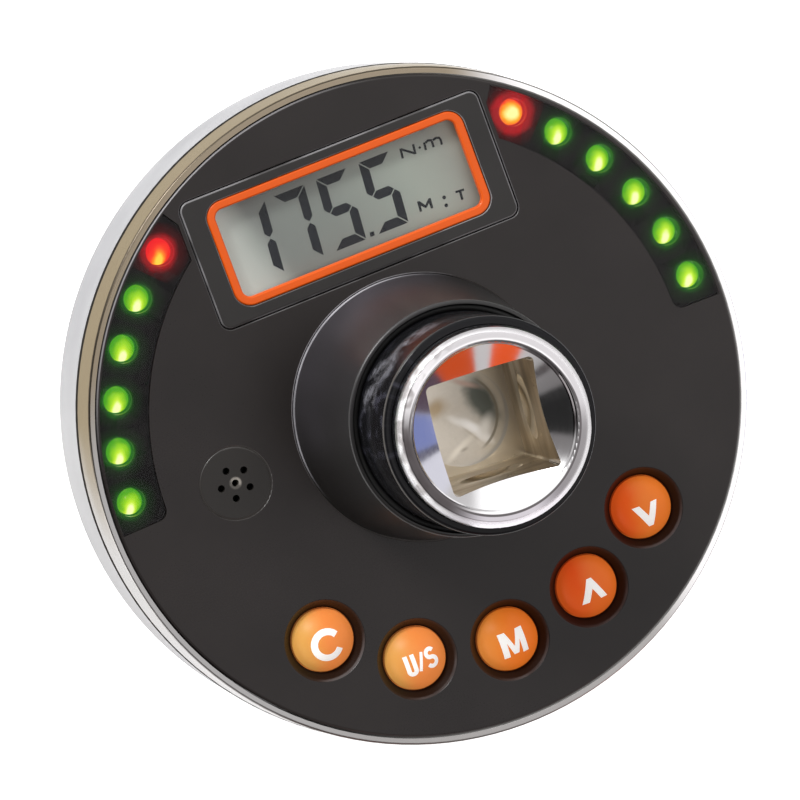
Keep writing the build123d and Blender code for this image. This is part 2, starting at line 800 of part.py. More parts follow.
# Rear cover: a moulded dish with the battery wells, screw bosses, ribs and the journal's boss
with BuildPart() as rear_cover:
    with BuildSketch(Plane.XY.offset(z_rear)):
        Circle(rear_cover_radius)
    extrude(amount=rear_floor)
    fillet(rear_cover.faces().sort_by(Axis.Z)[0].edges(), radius=rear_edge)
    with BuildSketch(Plane.XY.offset(z_rear - rear_hub_height)):
        Circle(rear_hub_radius)
    extrude(amount=rear_hub_height)
    fillet(rear_cover.faces().sort_by(Axis.Z)[0].edges(), radius=rear_hub_rounding)
    with BuildSketch(Plane.XY.offset(z_rear)):
        Circle(rear_tube_radius)
    extrude(amount=flange_height)

    # Ribs between the screw bosses and across the middle
    with BuildSketch(Plane.XY.offset(z_rear)):
        with Locations((0, case_screw_points[0][1]), (0, case_screw_points[2][1])):
            Rectangle(2 * case_screw_points[0][0], rib_thickness)
        Rectangle(rib_thickness, 2 * skirt_inner_radius)
    extrude(amount=flange_height - rib_gap)

    # Wells with roofs for the two cells
    with BuildSketch(Plane.XY.offset(z_rear)):
        with Locations((cell_x, 0), (-cell_x, 0)):
            Circle(well_wall_radius)
    extrude(amount=well_depth)
    with BuildSketch(Plane.XY.offset(z_rear)):
        with Locations((cell_x, 0), (-cell_x, 0)):
            Circle(cell_radius + well_gap)
    extrude(amount=well_depth - well_roof, mode=Mode.SUBTRACT)

    # Everything above the floor clears the ledge of the case band
    with BuildSketch(Plane.XY.offset(z_rear + rear_floor)):
        add(ring(band_inner_radius - band_ledge_width - fit_gap, case_radius))
    extrude(amount=case_depth, mode=Mode.SUBTRACT)

    # Mouth of each well: a seat for the cap, a hole for its plug, an undercut for the bayonet
    # lugs, and three ways in for them
    for side in (-1, 1):
        with BuildSketch(Plane.XY.offset(z_rear)):
            with Locations((side * cell_x, 0)):
                Circle(cap_radius + cap_gap)
        extrude(amount=cap_thickness + cap_seat_gap, mode=Mode.SUBTRACT)
        with BuildSketch(Plane.XY.offset(z_rear)):
            with Locations((side * cell_x, 0)):
                Circle(cap_hole_radius)
        extrude(amount=plug_height, mode=Mode.SUBTRACT)
        with BuildSketch(Plane.XY.offset(z_lug_groove)):
            with Locations((side * cell_x, 0)):
                Circle(lug_groove_radius)
        extrude(amount=lug_height + 2 * lug_gap, mode=Mode.SUBTRACT)
        with BuildSketch(Plane.XY.offset(z_rear + cap_thickness)):
            with Locations((side * cell_x, 0)):
                with PolarLocations(0, lug_count, start_angle=-lug_turn_angle):
                    add(
                        ring_sector(
                            plug_radius,
                            plug_radius + lug_reach + fit_gap,
                            -lug_angle / 2 - lug_play_angle,
                            lug_angle / 2 + lug_play_angle,
                        )
                    )
        extrude(amount=z_lug_groove + lug_height / 2 - z_rear - cap_thickness, mode=Mode.SUBTRACT)

    # Bosses for the case screws, reaching the circuit board, counterbored from behind
    with BuildSketch(Plane.XY.offset(z_rear)):
        with Locations(*case_screw_points):
            Circle(rear_boss_radius)
    extrude(amount=z_board_under - z_rear)
    with BuildSketch(Plane.XY.offset(z_rear)):
        with Locations(*case_screw_points):
            Circle(case_screw_head + cap_gap)
    extrude(amount=case_screw_seat, mode=Mode.SUBTRACT)
    with BuildSketch(Plane.XY.offset(z_rear)):
        with Locations(*case_screw_points):
            Circle(case_screw_radius + fit_gap)
    extrude(amount=z_board_under - z_rear, mode=Mode.SUBTRACT)

    # Bore for the journal, and openings in the roofs for the cell contacts
    with BuildSketch(Plane.XY.offset(z_rear - rear_hub_height)):
        Circle(journal_radius + fit_gap)
    extrude(amount=rear_hub_height + flange_height, mode=Mode.SUBTRACT)
    with BuildSketch(Plane.XY.offset(z_well)):
        with Locations((cell_x, 0), (-cell_x, 0)):
            Circle(post_radius + contact_gap)
        with Locations((cell_x + clip_x, 0), (-cell_x - clip_x, 0)):
            Rectangle(contact_thickness + 2 * contact_gap, clip_tail_width + 2 * contact_gap)
    extrude(amount=-well_roof, mode=Mode.SUBTRACT)
rear_cover.part.label = "rear_cover"
export_step(rear_cover.part, "parts/rear_cover.step")

with BuildPart() as rear_seal:
    with BuildSketch(Plane.XZ):
        with Locations((journal_radius - rear_seal_section + screw_gap, z_rear + rear_seal_height)):
            Circle(rear_seal_section - screw_gap)
    revolve(axis=Axis.Z)
rear_seal.part.label = "rear_seal"
export_step(rear_seal.part, "parts/rear_seal.step")

# Screws that pull the rear cover, board and front cover together
with BuildPart() as case_screws:
    with BuildSketch(Plane.XY.offset(z_rear + case_screw_seat - case_screw_head_height)):
        with Locations(*case_screw_points):
            Circle(case_screw_head)
    extrude(amount=case_screw_head_height)
    with BuildSketch(Plane.XY.offset(z_rear + case_screw_seat - case_screw_head_height)):
        with Locations(*case_screw_points):
            RegularPolygon(case_screw_socket, 6)
    extrude(amount=case_screw_head_height - case_screw_socket_floor, mode=Mode.SUBTRACT)
    with BuildSketch(Plane.XY.offset(z_rear + case_screw_seat)):
        with Locations(*case_screw_points):
            Circle(case_screw_radius)
    extrude(amount=z_board + case_screw_grip - z_rear - case_screw_seat)
case_screws.part.label = "case_screws"
export_step(case_screws.part, "parts/case_screws.step")

# Circuit board, clamped between the bosses of the two covers
with BuildPart() as circuit_board:
    with BuildSketch(Plane.XY.offset(z_board_under)):
        add(ring(board_bore_radius, board_radius))
        with Locations(*case_screw_points):
            Circle(case_screw_radius + button_gap, mode=Mode.SUBTRACT)
    extrude(amount=board_thickness)
circuit_board.part.label = "circuit_board"
export_step(circuit_board.part, "parts/circuit_board.step")

# Display: black surround let into the face, orange frame, clear window, LCD and its holder
with BuildPart() as display_surround:
    with BuildSketch(Plane.XY.offset(z_face - surround_thickness)):
        with Locations((0, surround_y)):
            RectangleRounded(surround_width, surround_height, surround_corner)
    extrude(amount=surround_thickness)
    fillet(display_surround.faces().sort_by(Axis.Z)[-1].edges(), radius=surround_rounding)
    with BuildSketch(Plane.XY.offset(z_face)):
        with Locations((0, frame_y)):
            RectangleRounded(frame_width + 2 * fit_gap, frame_height + 2 * fit_gap, frame_corner + fit_gap)
    extrude(amount=-surround_thickness, mode=Mode.SUBTRACT)
    fillet(display_surround.edges(Select.LAST).group_by(Axis.Z)[-1], radius=opening_rounding)
display_surround.part.label = "display_surround"
export_step(display_surround.part, "parts/display_surround.step")

z_window = z_face - surround_thickness + window_thickness
with BuildPart() as display_frame:
    with BuildSketch(Plane.XY.offset(z_window)):
        with Locations((0, frame_y)):
            RectangleRounded(frame_width, frame_height, frame_corner)
            RectangleRounded(
                frame_width - 2 * frame_line,
                frame_height - 2 * frame_line,
                frame_corner - frame_line,
                mode=Mode.SUBTRACT,
            )
    extrude(amount=z_face - frame_recess - z_window)
    fillet(display_frame.faces().sort_by(Axis.Z)[-1].edges(), radius=frame_rounding)
display_frame.part.label = "display_frame"
export_step(display_frame.part, "parts/display_frame.step")

with BuildPart() as display_window:
    with BuildSketch(Plane.XY.offset(z_window - window_thickness)):
        with Locations((0, frame_y)):
            RectangleRounded(frame_width, frame_height, frame_corner)
    extrude(amount=window_thickness)
display_window.part.label = "display_window"
export_step(display_window.part, "parts/display_window.step")

# The front glass overhangs the rear glass above and below, where the contact strips meet it
with BuildPart() as lcd_panel:
    with BuildSketch(Plane.XY.offset(z_plate)):
        with Locations((0, frame_y)):
            Rectangle(lcd_width, lcd_height)
    extrude(amount=-lcd_glass)
    with BuildSketch(Plane.XY.offset(z_plate - lcd_glass)):
        with Locations((0, frame_y)):
            Rectangle(lcd_width, lcd_height - 2 * lcd_contact_ledge)
    extrude(amount=-lcd_glass)
lcd_panel.part.label = "lcd_panel"
export_step(lcd_panel.part, "parts/lcd_panel.step")

with BuildPart() as lcd_holder:
    with BuildSketch(Plane.XY.offset(z_board)):
        with Locations((0, frame_y)):
            Rectangle(lcd_width + 2 * (fit_gap + holder_wall), lcd_height + 2 * (fit_gap + holder_wall))
            Rectangle(lcd_width + 2 * fit_gap, lcd_height + 2 * fit_gap, mode=Mode.SUBTRACT)
    extrude(amount=board_space)
    with BuildSketch(Plane.XY.offset(z_plate - 2 * lcd_glass)):
        with Locations((0, frame_y)):
            Rectangle(lcd_width + 2 * (fit_gap + holder_wall), lcd_height - 2 * lcd_contact_ledge)
            Rectangle(
                lcd_width - 2 * holder_shelf_width,
                lcd_height - 2 * (lcd_contact_ledge + holder_shelf_width),
                mode=Mode.SUBTRACT,
            )
    extrude(amount=-holder_shelf)
lcd_holder.part.label = "lcd_holder"
export_step(lcd_holder.part, "parts/lcd_holder.step")

strip_reach = (lcd_height - lcd_contact_ledge) / 2
with BuildPart() as contact_strips:
    with BuildSketch(Plane.XY.offset(z_board)):
        with Locations((0, frame_y - strip_reach), (0, frame_y + strip_reach)):
            Rectangle(strip_length, strip_width)
    extrude(amount=board_space - lcd_glass)
contact_strips.part.label = "contact_strips"
export_step(contact_strips.part, "parts/contact_strips.step")

# Smoked windows over the lights, one piece for each side of the face
for side, (start, end) in indicator_sides.items():
    with BuildPart() as indicator_window:
        with BuildSketch(Plane.XY.offset(z_window_top)):
            add(indicator_shape(start, end, indicator_gap))
        extrude(amount=-indicator_thickness)
    indicator_window.part.label = f"indicator_window_{side}"
    export_step(indicator_window.part, f"parts/indicator_window_{side}.step")

# Domed lights on the board: the red one of each side is the nearest to the display
for colour, angles in (("red", light_angles[:1]), ("green", light_angles[1:])):
    light_points = [on_face(light_circle, side * angle) for side in (-1, 1) for angle in angles]
    with BuildPart() as lights:
        for x, y in light_points:
            with BuildSketch(Plane(origin=(x, y, 0), x_dir=(1, 0, 0), z_dir=(0, -1, 0))):
                with BuildLine():
                    base = Line((0, z_board), (light_radius, z_board))
                    wall = Line(base @ 1, (light_radius, z_light_top - light_radius))
                    dome = CenterArc((0, z_light_top - light_radius), light_radius, 0, 90)
                    Line(dome @ 1, base @ 0)
                make_face()
            revolve(axis=Axis((x, y, 0), (0, 0, 1)))
    lights.part.label = f"{colour}_lights"
    export_step(lights.part, f"parts/{colour}_lights.step")

with BuildPart() as buzzer_grille:
    with BuildSketch(Plane.XY.offset(z_face - grille_recess)):
        with Locations((buzzer_x, buzzer_y)):
            Circle(grille_radius)
            Circle(grille_hole_radius, mode=Mode.SUBTRACT)
            with PolarLocations(grille_hole_offset, grille_hole_count, start_angle=180):
                Circle(grille_hole_radius, mode=Mode.SUBTRACT)
    extrude(amount=-grille_thickness)
    grille_edges = buzzer_grille.faces().sort_by(Axis.Z)[-1].edges().sort_by(SortBy.RADIUS)
    fillet(grille_edges[-1], radius=grille_rounding)
buzzer_grille.part.label = "buzzer_grille"
export_step(buzzer_grille.part, "parts/buzzer_grille.step")

with BuildPart() as buzzer:
    with BuildSketch(Plane.XY.offset(z_board)):
        with Locations((buzzer_x, buzzer_y)):
            Circle(buzzer_radius)
    extrude(amount=buzzer_height)
    with BuildSketch(Plane.XY.offset(z_board + buzzer_height)):
        with Locations((buzzer_x, buzzer_y)):
            Circle(buzzer_port_radius)
    extrude(amount=-buzzer_height / 2, mode=Mode.SUBTRACT)
buzzer.part.label = "buzzer"
export_step(buzzer.part, "parts/buzzer.step")

# Buttons: each a hollow domed cap with a keyed flange, over the plunger of its own switch
crown_height = button_sag + button_crown
crown_radius = (button_radius**2 + crown_height**2) / (2 * crown_height)
crown_turn = asin(button_radius / crown_radius)
z_crown = z_face + button_crown
z_rim = z_face - button_sag
for name, angle, (x, y) in zip(button_names, button_angles, button_points):
    with BuildPart() as button:
        with BuildSketch(Plane(origin=(x, y, 0), x_dir=(1, 0, 0), z_dir=(0, -1, 0))) as profile:
            with BuildLine():
                Polyline(
                    (0, z_crown),
                    (0, z_stem),
                    (button_stem_radius, z_stem),
                    (button_stem_radius, z_rim - button_roof),
                    (button_radius - button_wall, z_rim - button_roof),
                    (button_radius - button_wall, z_button_flange - button_flange_thickness),
                    (button_flange_radius, z_button_flange - button_flange_thickness),
                    (button_flange_radius, z_button_flange),
                    (button_radius, z_button_flange),
                    (button_radius, z_rim),
                )
                ThreePointArc(
                    (button_radius, z_rim),
                    (
                        crown_radius * sin(crown_turn / 2),
                        z_crown - crown_radius * (1 - cos(crown_turn / 2)),
                    ),
                    (0, z_crown),
                )
            make_face()
            rim = profile.vertices().sort_by_distance((button_radius, z_rim))[0]
            fillet(rim, radius=button_rim_rounding)
        revolve(axis=Axis((x, y, 0), (0, 0, 1)))
        with BuildSketch(Plane.XY.offset(z_button_flange)):
            with Locations(Location((x, y, 0), (0, 0, -angle))):
                with Locations((0, -button_radius)):
                    Rectangle(
                        button_key_width,
                        button_flange_radius + button_key_reach - button_radius,
                        align=(Align.CENTER, Align.MAX),
                    )
        extrude(amount=-button_flange_thickness)
    button.part.label = f"button_{name}"
    export_step(button.part, f"parts/button_{name}.step")

    with BuildPart() as plunger:
        with BuildSketch(Plane.XY.offset(z_stem)):
            with Locations((x, y)):
                Circle(plunger_radius)
        extrude(amount=-plunger_length)
    plunger.part.label = f"plunger_{name}"
    export_step(plunger.part, f"parts/plunger_{name}.step")

with BuildPart() as button_switches:
    with BuildSketch(Plane.XY.offset(z_board)):
        for angle, (x, y) in zip(button_angles, button_points):
            with Locations(Location((x, y, 0), (0, 0, -angle))):
                Rectangle(switch_size, switch_size)
    extrude(amount=switch_height)
    with BuildSketch(Plane.XY.offset(z_switch)):
        with Locations(*button_points):
            Circle(plunger_radius + plunger_gap)
    extrude(amount=-(plunger_length - plunger_rise + button_travel + plunger_gap), mode=Mode.SUBTRACT)
button_switches.part.label = "button_switches"
export_step(button_switches.part, "parts/button_switches.step")

# Bayonet battery caps, opened with a coin, each with its sealing ring
for side, centre_x in (("left", -cell_x), ("right", cell_x)):
    with BuildPart() as battery_cap:
        with BuildSketch(Plane.XY.offset(z_rear)):
            with Locations((centre_x, 0)):
                Circle(cap_radius)
        extrude(amount=cap_thickness)
        with BuildSketch(Plane.XY.offset(z_rear + cap_thickness)):
            with Locations((centre_x, 0)):
                Circle(plug_radius)
        extrude(amount=plug_height - cap_thickness)
        with BuildSketch(Plane.XY.offset(z_cap_inside)):
            with Locations((centre_x, 0)):
                with PolarLocations(0, lug_count):
                    add(
                        ring_sector(
                            plug_radius - cap_gap, plug_radius + lug_reach, -lug_angle / 2, lug_angle / 2
                        )
                    )
        extrude(amount=-lug_height)
        with BuildSketch(Plane.XY.offset(z_cap_seal - cap_seal_section - screw_gap)):
            with Locations((centre_x, 0)):
                Circle(plug_radius + cap_gap)
                Circle(cap_seal_radius - cap_seal_section - screw_gap, mode=Mode.SUBTRACT)
        extrude(amount=2 * (cap_seal_section + screw_gap), mode=Mode.SUBTRACT)
        with BuildSketch(Plane.XY.offset(z_rear)):
            with Locations((centre_x, 0)):
                SlotOverall(coin_slot_length, coin_slot_width, rotation=90)
        extrude(amount=coin_slot_depth, mode=Mode.SUBTRACT)
    battery_cap.part.label = f"battery_cap_{side}"
    export_step(battery_cap.part, f"parts/battery_cap_{side}.step")

    with BuildPart() as battery_seal:
        with BuildSketch(Plane(origin=(centre_x, 0, 0), x_dir=(1, 0, 0), z_dir=(0, -1, 0))):
            with Locations((cap_seal_radius, z_cap_seal)):
                Circle(cap_seal_section)
        revolve(axis=Axis((centre_x, 0, 0), (0, 0, 1)))
    battery_seal.part.label = f"battery_seal_{side}"
    export_step(battery_seal.part, f"parts/battery_seal_{side}.step")

with BuildPart() as coin_cells:
    with BuildSketch(Plane.XY.offset(z_cell)):
        with Locations((cell_x, 0), (-cell_x, 0)):
            Circle(cell_radius)
    extrude(amount=cell_thickness - cell_step)
    with BuildSketch(Plane.XY.offset(z_cell)):
        with Locations((cell_x, 0), (-cell_x, 0)):
            Circle(cell_radius - cell_step_width)
    extrude(amount=cell_thickness)
coin_cells.part.label = "coin_cells"
export_step(coin_cells.part, "parts/coin_cells.step")

# Dished spring contacts on top of the cells, each with a post up to the board
z_roof = z_well - well_roof
with BuildPart() as cell_springs:
    for centre_x in (-cell_x, cell_x):
        with BuildSketch(Plane(origin=(centre_x, 0, 0), x_dir=(1, 0, 0), z_dir=(0, -1, 0))):
            with BuildLine():
                Polyline(
                    (0, z_cell_top),
                    (contact_tip_radius, z_cell_top),
                    (contact_rim_radius, z_roof - contact_thickness),
                    (contact_rim_radius, z_roof),
                    (contact_tip_radius, z_cell_top + contact_thickness),
                    (post_radius, z_cell_top + contact_thickness),
                    (post_radius, z_board_under),
                    (0, z_board_under),
                    close=True,
                )
            make_face()
        revolve(axis=Axis((centre_x, 0, 0), (0, 0, 1)))
cell_springs.part.label = "cell_springs"
export_step(cell_springs.part, "parts/cell_springs.step")

# Side clips that touch the cells' cans, each with a tail up to the board
tail_angle = degrees(clip_tail_width / cell_radius)
with BuildPart() as cell_clips:
    for turn, centre_x in ((180, -cell_x), (0, cell_x)):
        for arc, top in ((clip_angle, z_roof), (tail_angle, z_board_under)):
            with BuildSketch(Plane.XY.offset(z_cell + clip_lift)):
                with Locations((centre_x, 0)):
                    add(
                        ring_sector(
                            cell_radius + fit_gap,
                            cell_radius + fit_gap + contact_thickness,
                            turn - arc / 2,
                            turn + arc / 2,
                        )
                    )
            extrude(amount=top - z_cell - clip_lift)
cell_clips.part.label = "cell_clips"
export_step(cell_clips.part, "parts/cell_clips.step")

# Foil strain gauges on the two flats, and the lead that wraps the spindle and leaves to the board
with BuildPart() as strain_gauges:
    with BuildSketch(Plane.XY.offset((z_collar_foot + z_torsion_top - gauge_length) / 2 + gauge_lift)):
        with Locations(
            (0, torsion_flat + gauge_thickness / 2), (0, -torsion_flat - gauge_thickness / 2)
        ):
            Rectangle(gauge_width, gauge_thickness)
    extrude(amount=gauge_length)
strain_gauges.part.label = "strain_gauges"
export_step(strain_gauges.part, "parts/strain_gauges.step")

band_radius = torsion_radius + fit_gap
connector_front = connector_y + connector_depth / 2
with BuildPart() as gauge_lead:
    with BuildSketch(Plane.XY.offset(z_board - flex_band_height)):
        add(ring(band_radius, band_radius + flex_thickness))
    extrude(amount=flex_band_height)
    with BuildSketch(Plane.YZ):
        with BuildLine():
            Polyline(
                (-band_radius - flex_thickness / 2, z_board - flex_thickness),
                (-collar_bore_radius, z_board),
                (connector_front, z_board),
                (connector_front, z_board + flex_thickness),
                (-collar_bore_radius, z_board + flex_thickness),
                (-band_radius - flex_thickness / 2, z_board),
                close=True,
            )
        make_face()
    extrude(amount=flex_width / 2, both=True)
gauge_lead.part.label = "gauge_lead"
export_step(gauge_lead.part, "parts/gauge_lead.step")

# Small parts soldered to the board: name, place, length, width and height
board_parts = (
    ("lead_connector", 0, connector_y, connector_length, connector_depth, connector_height),
    ("processor_chip", chip_x, 2.0, processor_size, processor_size, chip_height),
    ("gauge_amplifier", 10.5, -20.0, amplifier_length, amplifier_width, chip_height),
    ("motion_sensor", -10.5, -20.0, sensor_size, sensor_size, chip_height),
    ("crystal", chip_x, -5.0, crystal_length, crystal_width, chip_height),
)
for name, x, y, length, width, height in board_parts:
    with BuildPart() as board_part:
        with BuildSketch(Plane.XY.offset(z_board)):
            with Locations((x, y)):
                Rectangle(length, width)
        extrude(amount=height)
        chamfer(board_part.faces().sort_by(Axis.Z)[-1].edges(), length=chip_chamfer)
    board_part.part.label = name
    export_step(board_part.part, f"parts/{name}.step")
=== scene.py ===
from math import asin, cos, pi, radians, sin, sqrt, tan

import bmesh
import bpy
from mathutils import Matrix, Vector


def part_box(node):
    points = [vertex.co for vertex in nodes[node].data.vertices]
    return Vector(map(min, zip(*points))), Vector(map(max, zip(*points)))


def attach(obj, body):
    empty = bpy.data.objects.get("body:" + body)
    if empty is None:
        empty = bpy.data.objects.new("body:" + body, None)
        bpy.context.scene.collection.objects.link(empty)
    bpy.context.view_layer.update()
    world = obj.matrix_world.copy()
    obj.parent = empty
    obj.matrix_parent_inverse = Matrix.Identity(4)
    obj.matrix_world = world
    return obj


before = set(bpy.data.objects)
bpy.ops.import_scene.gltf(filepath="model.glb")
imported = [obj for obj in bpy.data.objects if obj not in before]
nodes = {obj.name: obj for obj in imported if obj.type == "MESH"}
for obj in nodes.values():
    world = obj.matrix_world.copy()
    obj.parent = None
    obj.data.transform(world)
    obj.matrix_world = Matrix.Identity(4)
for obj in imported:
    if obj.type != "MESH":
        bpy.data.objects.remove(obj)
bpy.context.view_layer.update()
scene = bpy.context.scene

MM = 0.001


def corners(node):
    """Lowest and highest corner of a solid's box, in millimetres."""
    return [[value / MM for value in corner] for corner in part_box(node)]


# Places read off the solids, in millimetres; heights are above the male square's end
COVER_RADIUS, _, FACE = corners("front_cover")[1]
LIP = corners("drive_spindle")[1][2]
LCD_TOP = corners("lcd_panel")[1][2]
SLEEVE_TOP = corners("hub_sleeve")[1][2]
CROWN = corners("button_mode")[1][2] - FACE
GRILLE_LOW, GRILLE_HIGH = corners("buzzer_grille")
GRILLE_CENTRE = [(GRILLE_LOW[axis] + GRILLE_HIGH[axis]) / 2 for axis in (0, 1)]
GRILLE_RADIUS = (GRILLE_HIGH[0] - GRILLE_LOW[0]) / 2
SURROUND_EDGE = corners("display_surround")[1][0]

# Sizes of the drive socket, in millimetres: its floor and ball groove, the relief in the floor, a
# radius between the square's corners and the countersink, and the point where the countersink starts
SOCKET_FLOOR = LIP - 15.5
GROOVE = LIP - 8.3
GROOVE_HALF = 1.5
RELIEF_RADIUS = 5.9
SOCKET_REACH = 9.0
SINK_RADIUS, SINK_HEIGHT, SINK_SLOPE = 9.8, LIP - 0.34, 33.0
LIP_INNER = 9.95
# Creases beside the bezel and the hub, and the foot of the collar
COVER_CREASE = COVER_RADIUS - 0.5
HUB_CREASE = 17.6
COLLAR_FOOT = FACE + 0.45
# Lights: six on each side, on one circle, the first beside the display; bearings from +Y in radians
LIGHT_CIRCLE = COVER_RADIUS - 2.9
FIRST_LIGHT = asin((SURROUND_EDGE + 3.8) / LIGHT_CIRCLE)
LIGHT_STEP = 6.35 / LIGHT_CIRCLE
LAST_LIGHT = 5.0
KEYS = ("clear", "units", "mode", "up", "down")
NOTHING = (0.0, 0.0, 0.0)


# Shader helpers
class Shader:
    """A material under construction, called s below, with short calls for its nodes."""

    def __init__(self, name):
        self.material = bpy.data.materials.new(name)
        self.material.use_nodes = True
        self.tree = self.material.node_tree
        self.tree.nodes.clear()
        self.out = self.add("ShaderNodeOutputMaterial")
        self.body = self.add("ShaderNodeBsdfPrincipled")
        self.link(self.body.outputs[0], self.out.inputs["Surface"])
        self.position = self.add("ShaderNodeTexCoord").outputs["Object"]

    def add(self, kind, **settings):
        node = self.tree.nodes.new(kind)
        for key, value in settings.items():
            setattr(node, key, value)
        return node

    def link(self, a, b):
        self.tree.links.new(a, b)

    def feed(self, socket, value):
        if isinstance(value, bpy.types.NodeSocket):
            self.link(value, socket)
        else:
            socket.default_value = value

    def set(self, **values):
        """Sets or links inputs of the main shader, its names written with underscores."""
        for key, value in values.items():
            self.feed(self.body.inputs[key.replace("_", " ")], value)
        return self

    def math(self, operation, a, b=0.0, c=0.0):
        node = self.add("ShaderNodeMath", operation=operation)
        for socket, value in zip(node.inputs, (a, b, c)):
            self.feed(socket, value)
        return node.outputs[0]

    def chain(self, operation, values):
        result = values[0]
        for value in values[1:]:
            result = self.math(operation, result, value)
        return result

    def times(self, *values):
        return self.chain("MULTIPLY", values)

    def plus(self, *values):
        return self.chain("ADD", values)

    def most(self, *values):
        return self.chain("MAXIMUM", values)

    def minus(self, a, b):
        return self.math("SUBTRACT", a, b)

    def opposite(self, value):
        """1 where a mask is 0 and the other way round."""
        return self.minus(1.0, value)

    def above(self, value, limit):
        """1 where a value is over a limit, else 0."""
        return self.math("GREATER_THAN", value, limit)

    def below(self, value, limit):
        """1 where a value is under a limit, else 0."""
        return self.math("LESS_THAN", value, limit)

    def wander(self, noise, reach, value):
        """A value shifted by a noise of 0 to 1, by half the reach to either side."""
        return self.math("MULTIPLY_ADD", self.minus(noise, 0.5), reach, value)

    def normal(self):
        """Parts of the surface's direction along the part's axes."""
        return self.split(self.add("ShaderNodeTexCoord").outputs["Normal"])

    def base(self):
        """The colour that the main shader has so far."""
        return self.body.inputs["Base Color"].links[0].from_socket

    def scaled(self, vector, scale):
        node = self.add("ShaderNodeVectorMath", operation="MULTIPLY")
        self.feed(node.inputs[0], vector)
        node.inputs[1].default_value = scale
        return node.outputs[0]

    def split(self, vector):
        node = self.add("ShaderNodeSeparateXYZ")
        self.feed(node.inputs[0], vector)
        return node.outputs

    def joined(self, x, y, z=0.0):
        node = self.add("ShaderNodeCombineXYZ")
        for socket, value in zip(node.inputs, (x, y, z)):
            self.feed(socket, value)
        return node.outputs[0]

    def noise(self, scale, vector=None, detail=3.0, roughness=0.5):
        node = self.add("ShaderNodeTexNoise")
        self.feed(node.inputs["Vector"], vector or self.position)
        node.inputs["Scale"].default_value = scale
        node.inputs["Detail"].default_value = detail
        node.inputs["Roughness"].default_value = roughness
        return node.outputs["Fac"]

    def spread(self, value, low, high, to_low, to_high, smooth=False):
        node = self.add("ShaderNodeMapRange", interpolation_type="SMOOTHSTEP" if smooth else "LINEAR")
        self.feed(node.inputs["Value"], value)
        for name, number in (("From Min", low), ("From Max", high), ("To Min", to_low), ("To Max", to_high)):
            node.inputs[name].default_value = number
        return node.outputs["Result"]

    def blend(self, factor, a, b):
        """Colour a where the factor is 0 and b where it is 1."""
        node = self.add("ShaderNodeMix", data_type="RGBA")
        self.feed(node.inputs[0], factor)
        for socket, value in ((node.inputs[6], a), (node.inputs[7], b)):
            self.feed(socket, value if isinstance(value, bpy.types.NodeSocket) else (*value, 1.0))
        return node.outputs[2]

    def ramp(self, factor, *stops):
        node = self.add("ShaderNodeValToRGB")
        elements = node.color_ramp.elements
        while len(elements) < len(stops):
            elements.new(0.5)
        for element, (place, colour) in zip(elements, stops):
            element.position = place
            element.color = (*colour, 1.0)
        self.feed(node.inputs[0], factor)
        return node.outputs["Color"]

    def bump(self, height, strength, distance, normal=None):
        node = self.add("ShaderNodeBump")
        self.feed(node.inputs["Height"], height)
        node.inputs["Strength"].default_value = strength
        node.inputs["Distance"].default_value = distance
        if normal is not None:
            self.link(normal, node.inputs["Normal"])
        return node.outputs[0]

    def polar(self, centre=(0.0, 0.0)):
        """Distance from an axis along Z, angle round it and height, in metres and turns."""
        x, y, z = self.split(self.position)
        x = self.minus(x, centre[0] * MM)
        y = self.minus(y, centre[1] * MM)
        radius = self.math("SQRT", self.plus(self.times(x, x), self.times(y, y)))
        turn = self.math("DIVIDE", self.math("ARCTAN2", y, x), 2 * pi)
        return radius, turn, z

    def ring_space(self):
        """Texture space in which a fine noise runs in rings round the drive axis."""
        radius, turn, height = self.polar()
        return self.joined(radius, self.times(turn, 0.0004), height)

    def facing_window(self, x, y):
        """Distance in metres from the drive axis towards the window light of the photograph."""
        return self.plus(self.times(x, -0.56), self.times(y, 0.83))

    def towards(self, angle, inner, outer):
        """1 within one angle of a bearing round the drive axis, fading to 0 at another; all in degrees."""
        radius = self.polar()[0]
        x, y = self.split(self.position)[:2]
        along = self.plus(self.times(x, cos(radians(angle))), self.times(y, sin(radians(angle))))
        along = self.math("DIVIDE", along, radius)
        return self.spread(along, cos(radians(outer)), cos(radians(inner)), 0.0, 1.0, smooth=True)

    def near(self, value, centre, half, soft):
        """1 where a value lies close to a centre, fading to 0."""
        away = self.math("ABSOLUTE", self.minus(value, centre))
        return self.spread(away, half, half + soft, 1.0, 0.0, smooth=True)

    def blob(self, centre, reach, angle, soft=0.35, wobble=None):
        """1 inside a soft ellipse seen along the drive axis; centre and reach in millimetres."""
        x, y = self.split(self.position)[:2]
        x = self.minus(x, centre[0] * MM)
        y = self.minus(y, centre[1] * MM)
        cosine, sine = cos(radians(angle)), sin(radians(angle))
        long, wide = reach[0] * MM, reach[1] * MM
        along = self.plus(self.times(x, cosine / long), self.times(y, sine / long))
        across = self.plus(self.times(x, -sine / wide), self.times(y, cosine / wide))
        away = self.math("SQRT", self.plus(self.times(along, along), self.times(across, across)))
        if wobble is not None:
            away = self.plus(away, wobble)
        return self.spread(away, 1 - soft, 1 + soft, 1.0, 0.0, smooth=True)


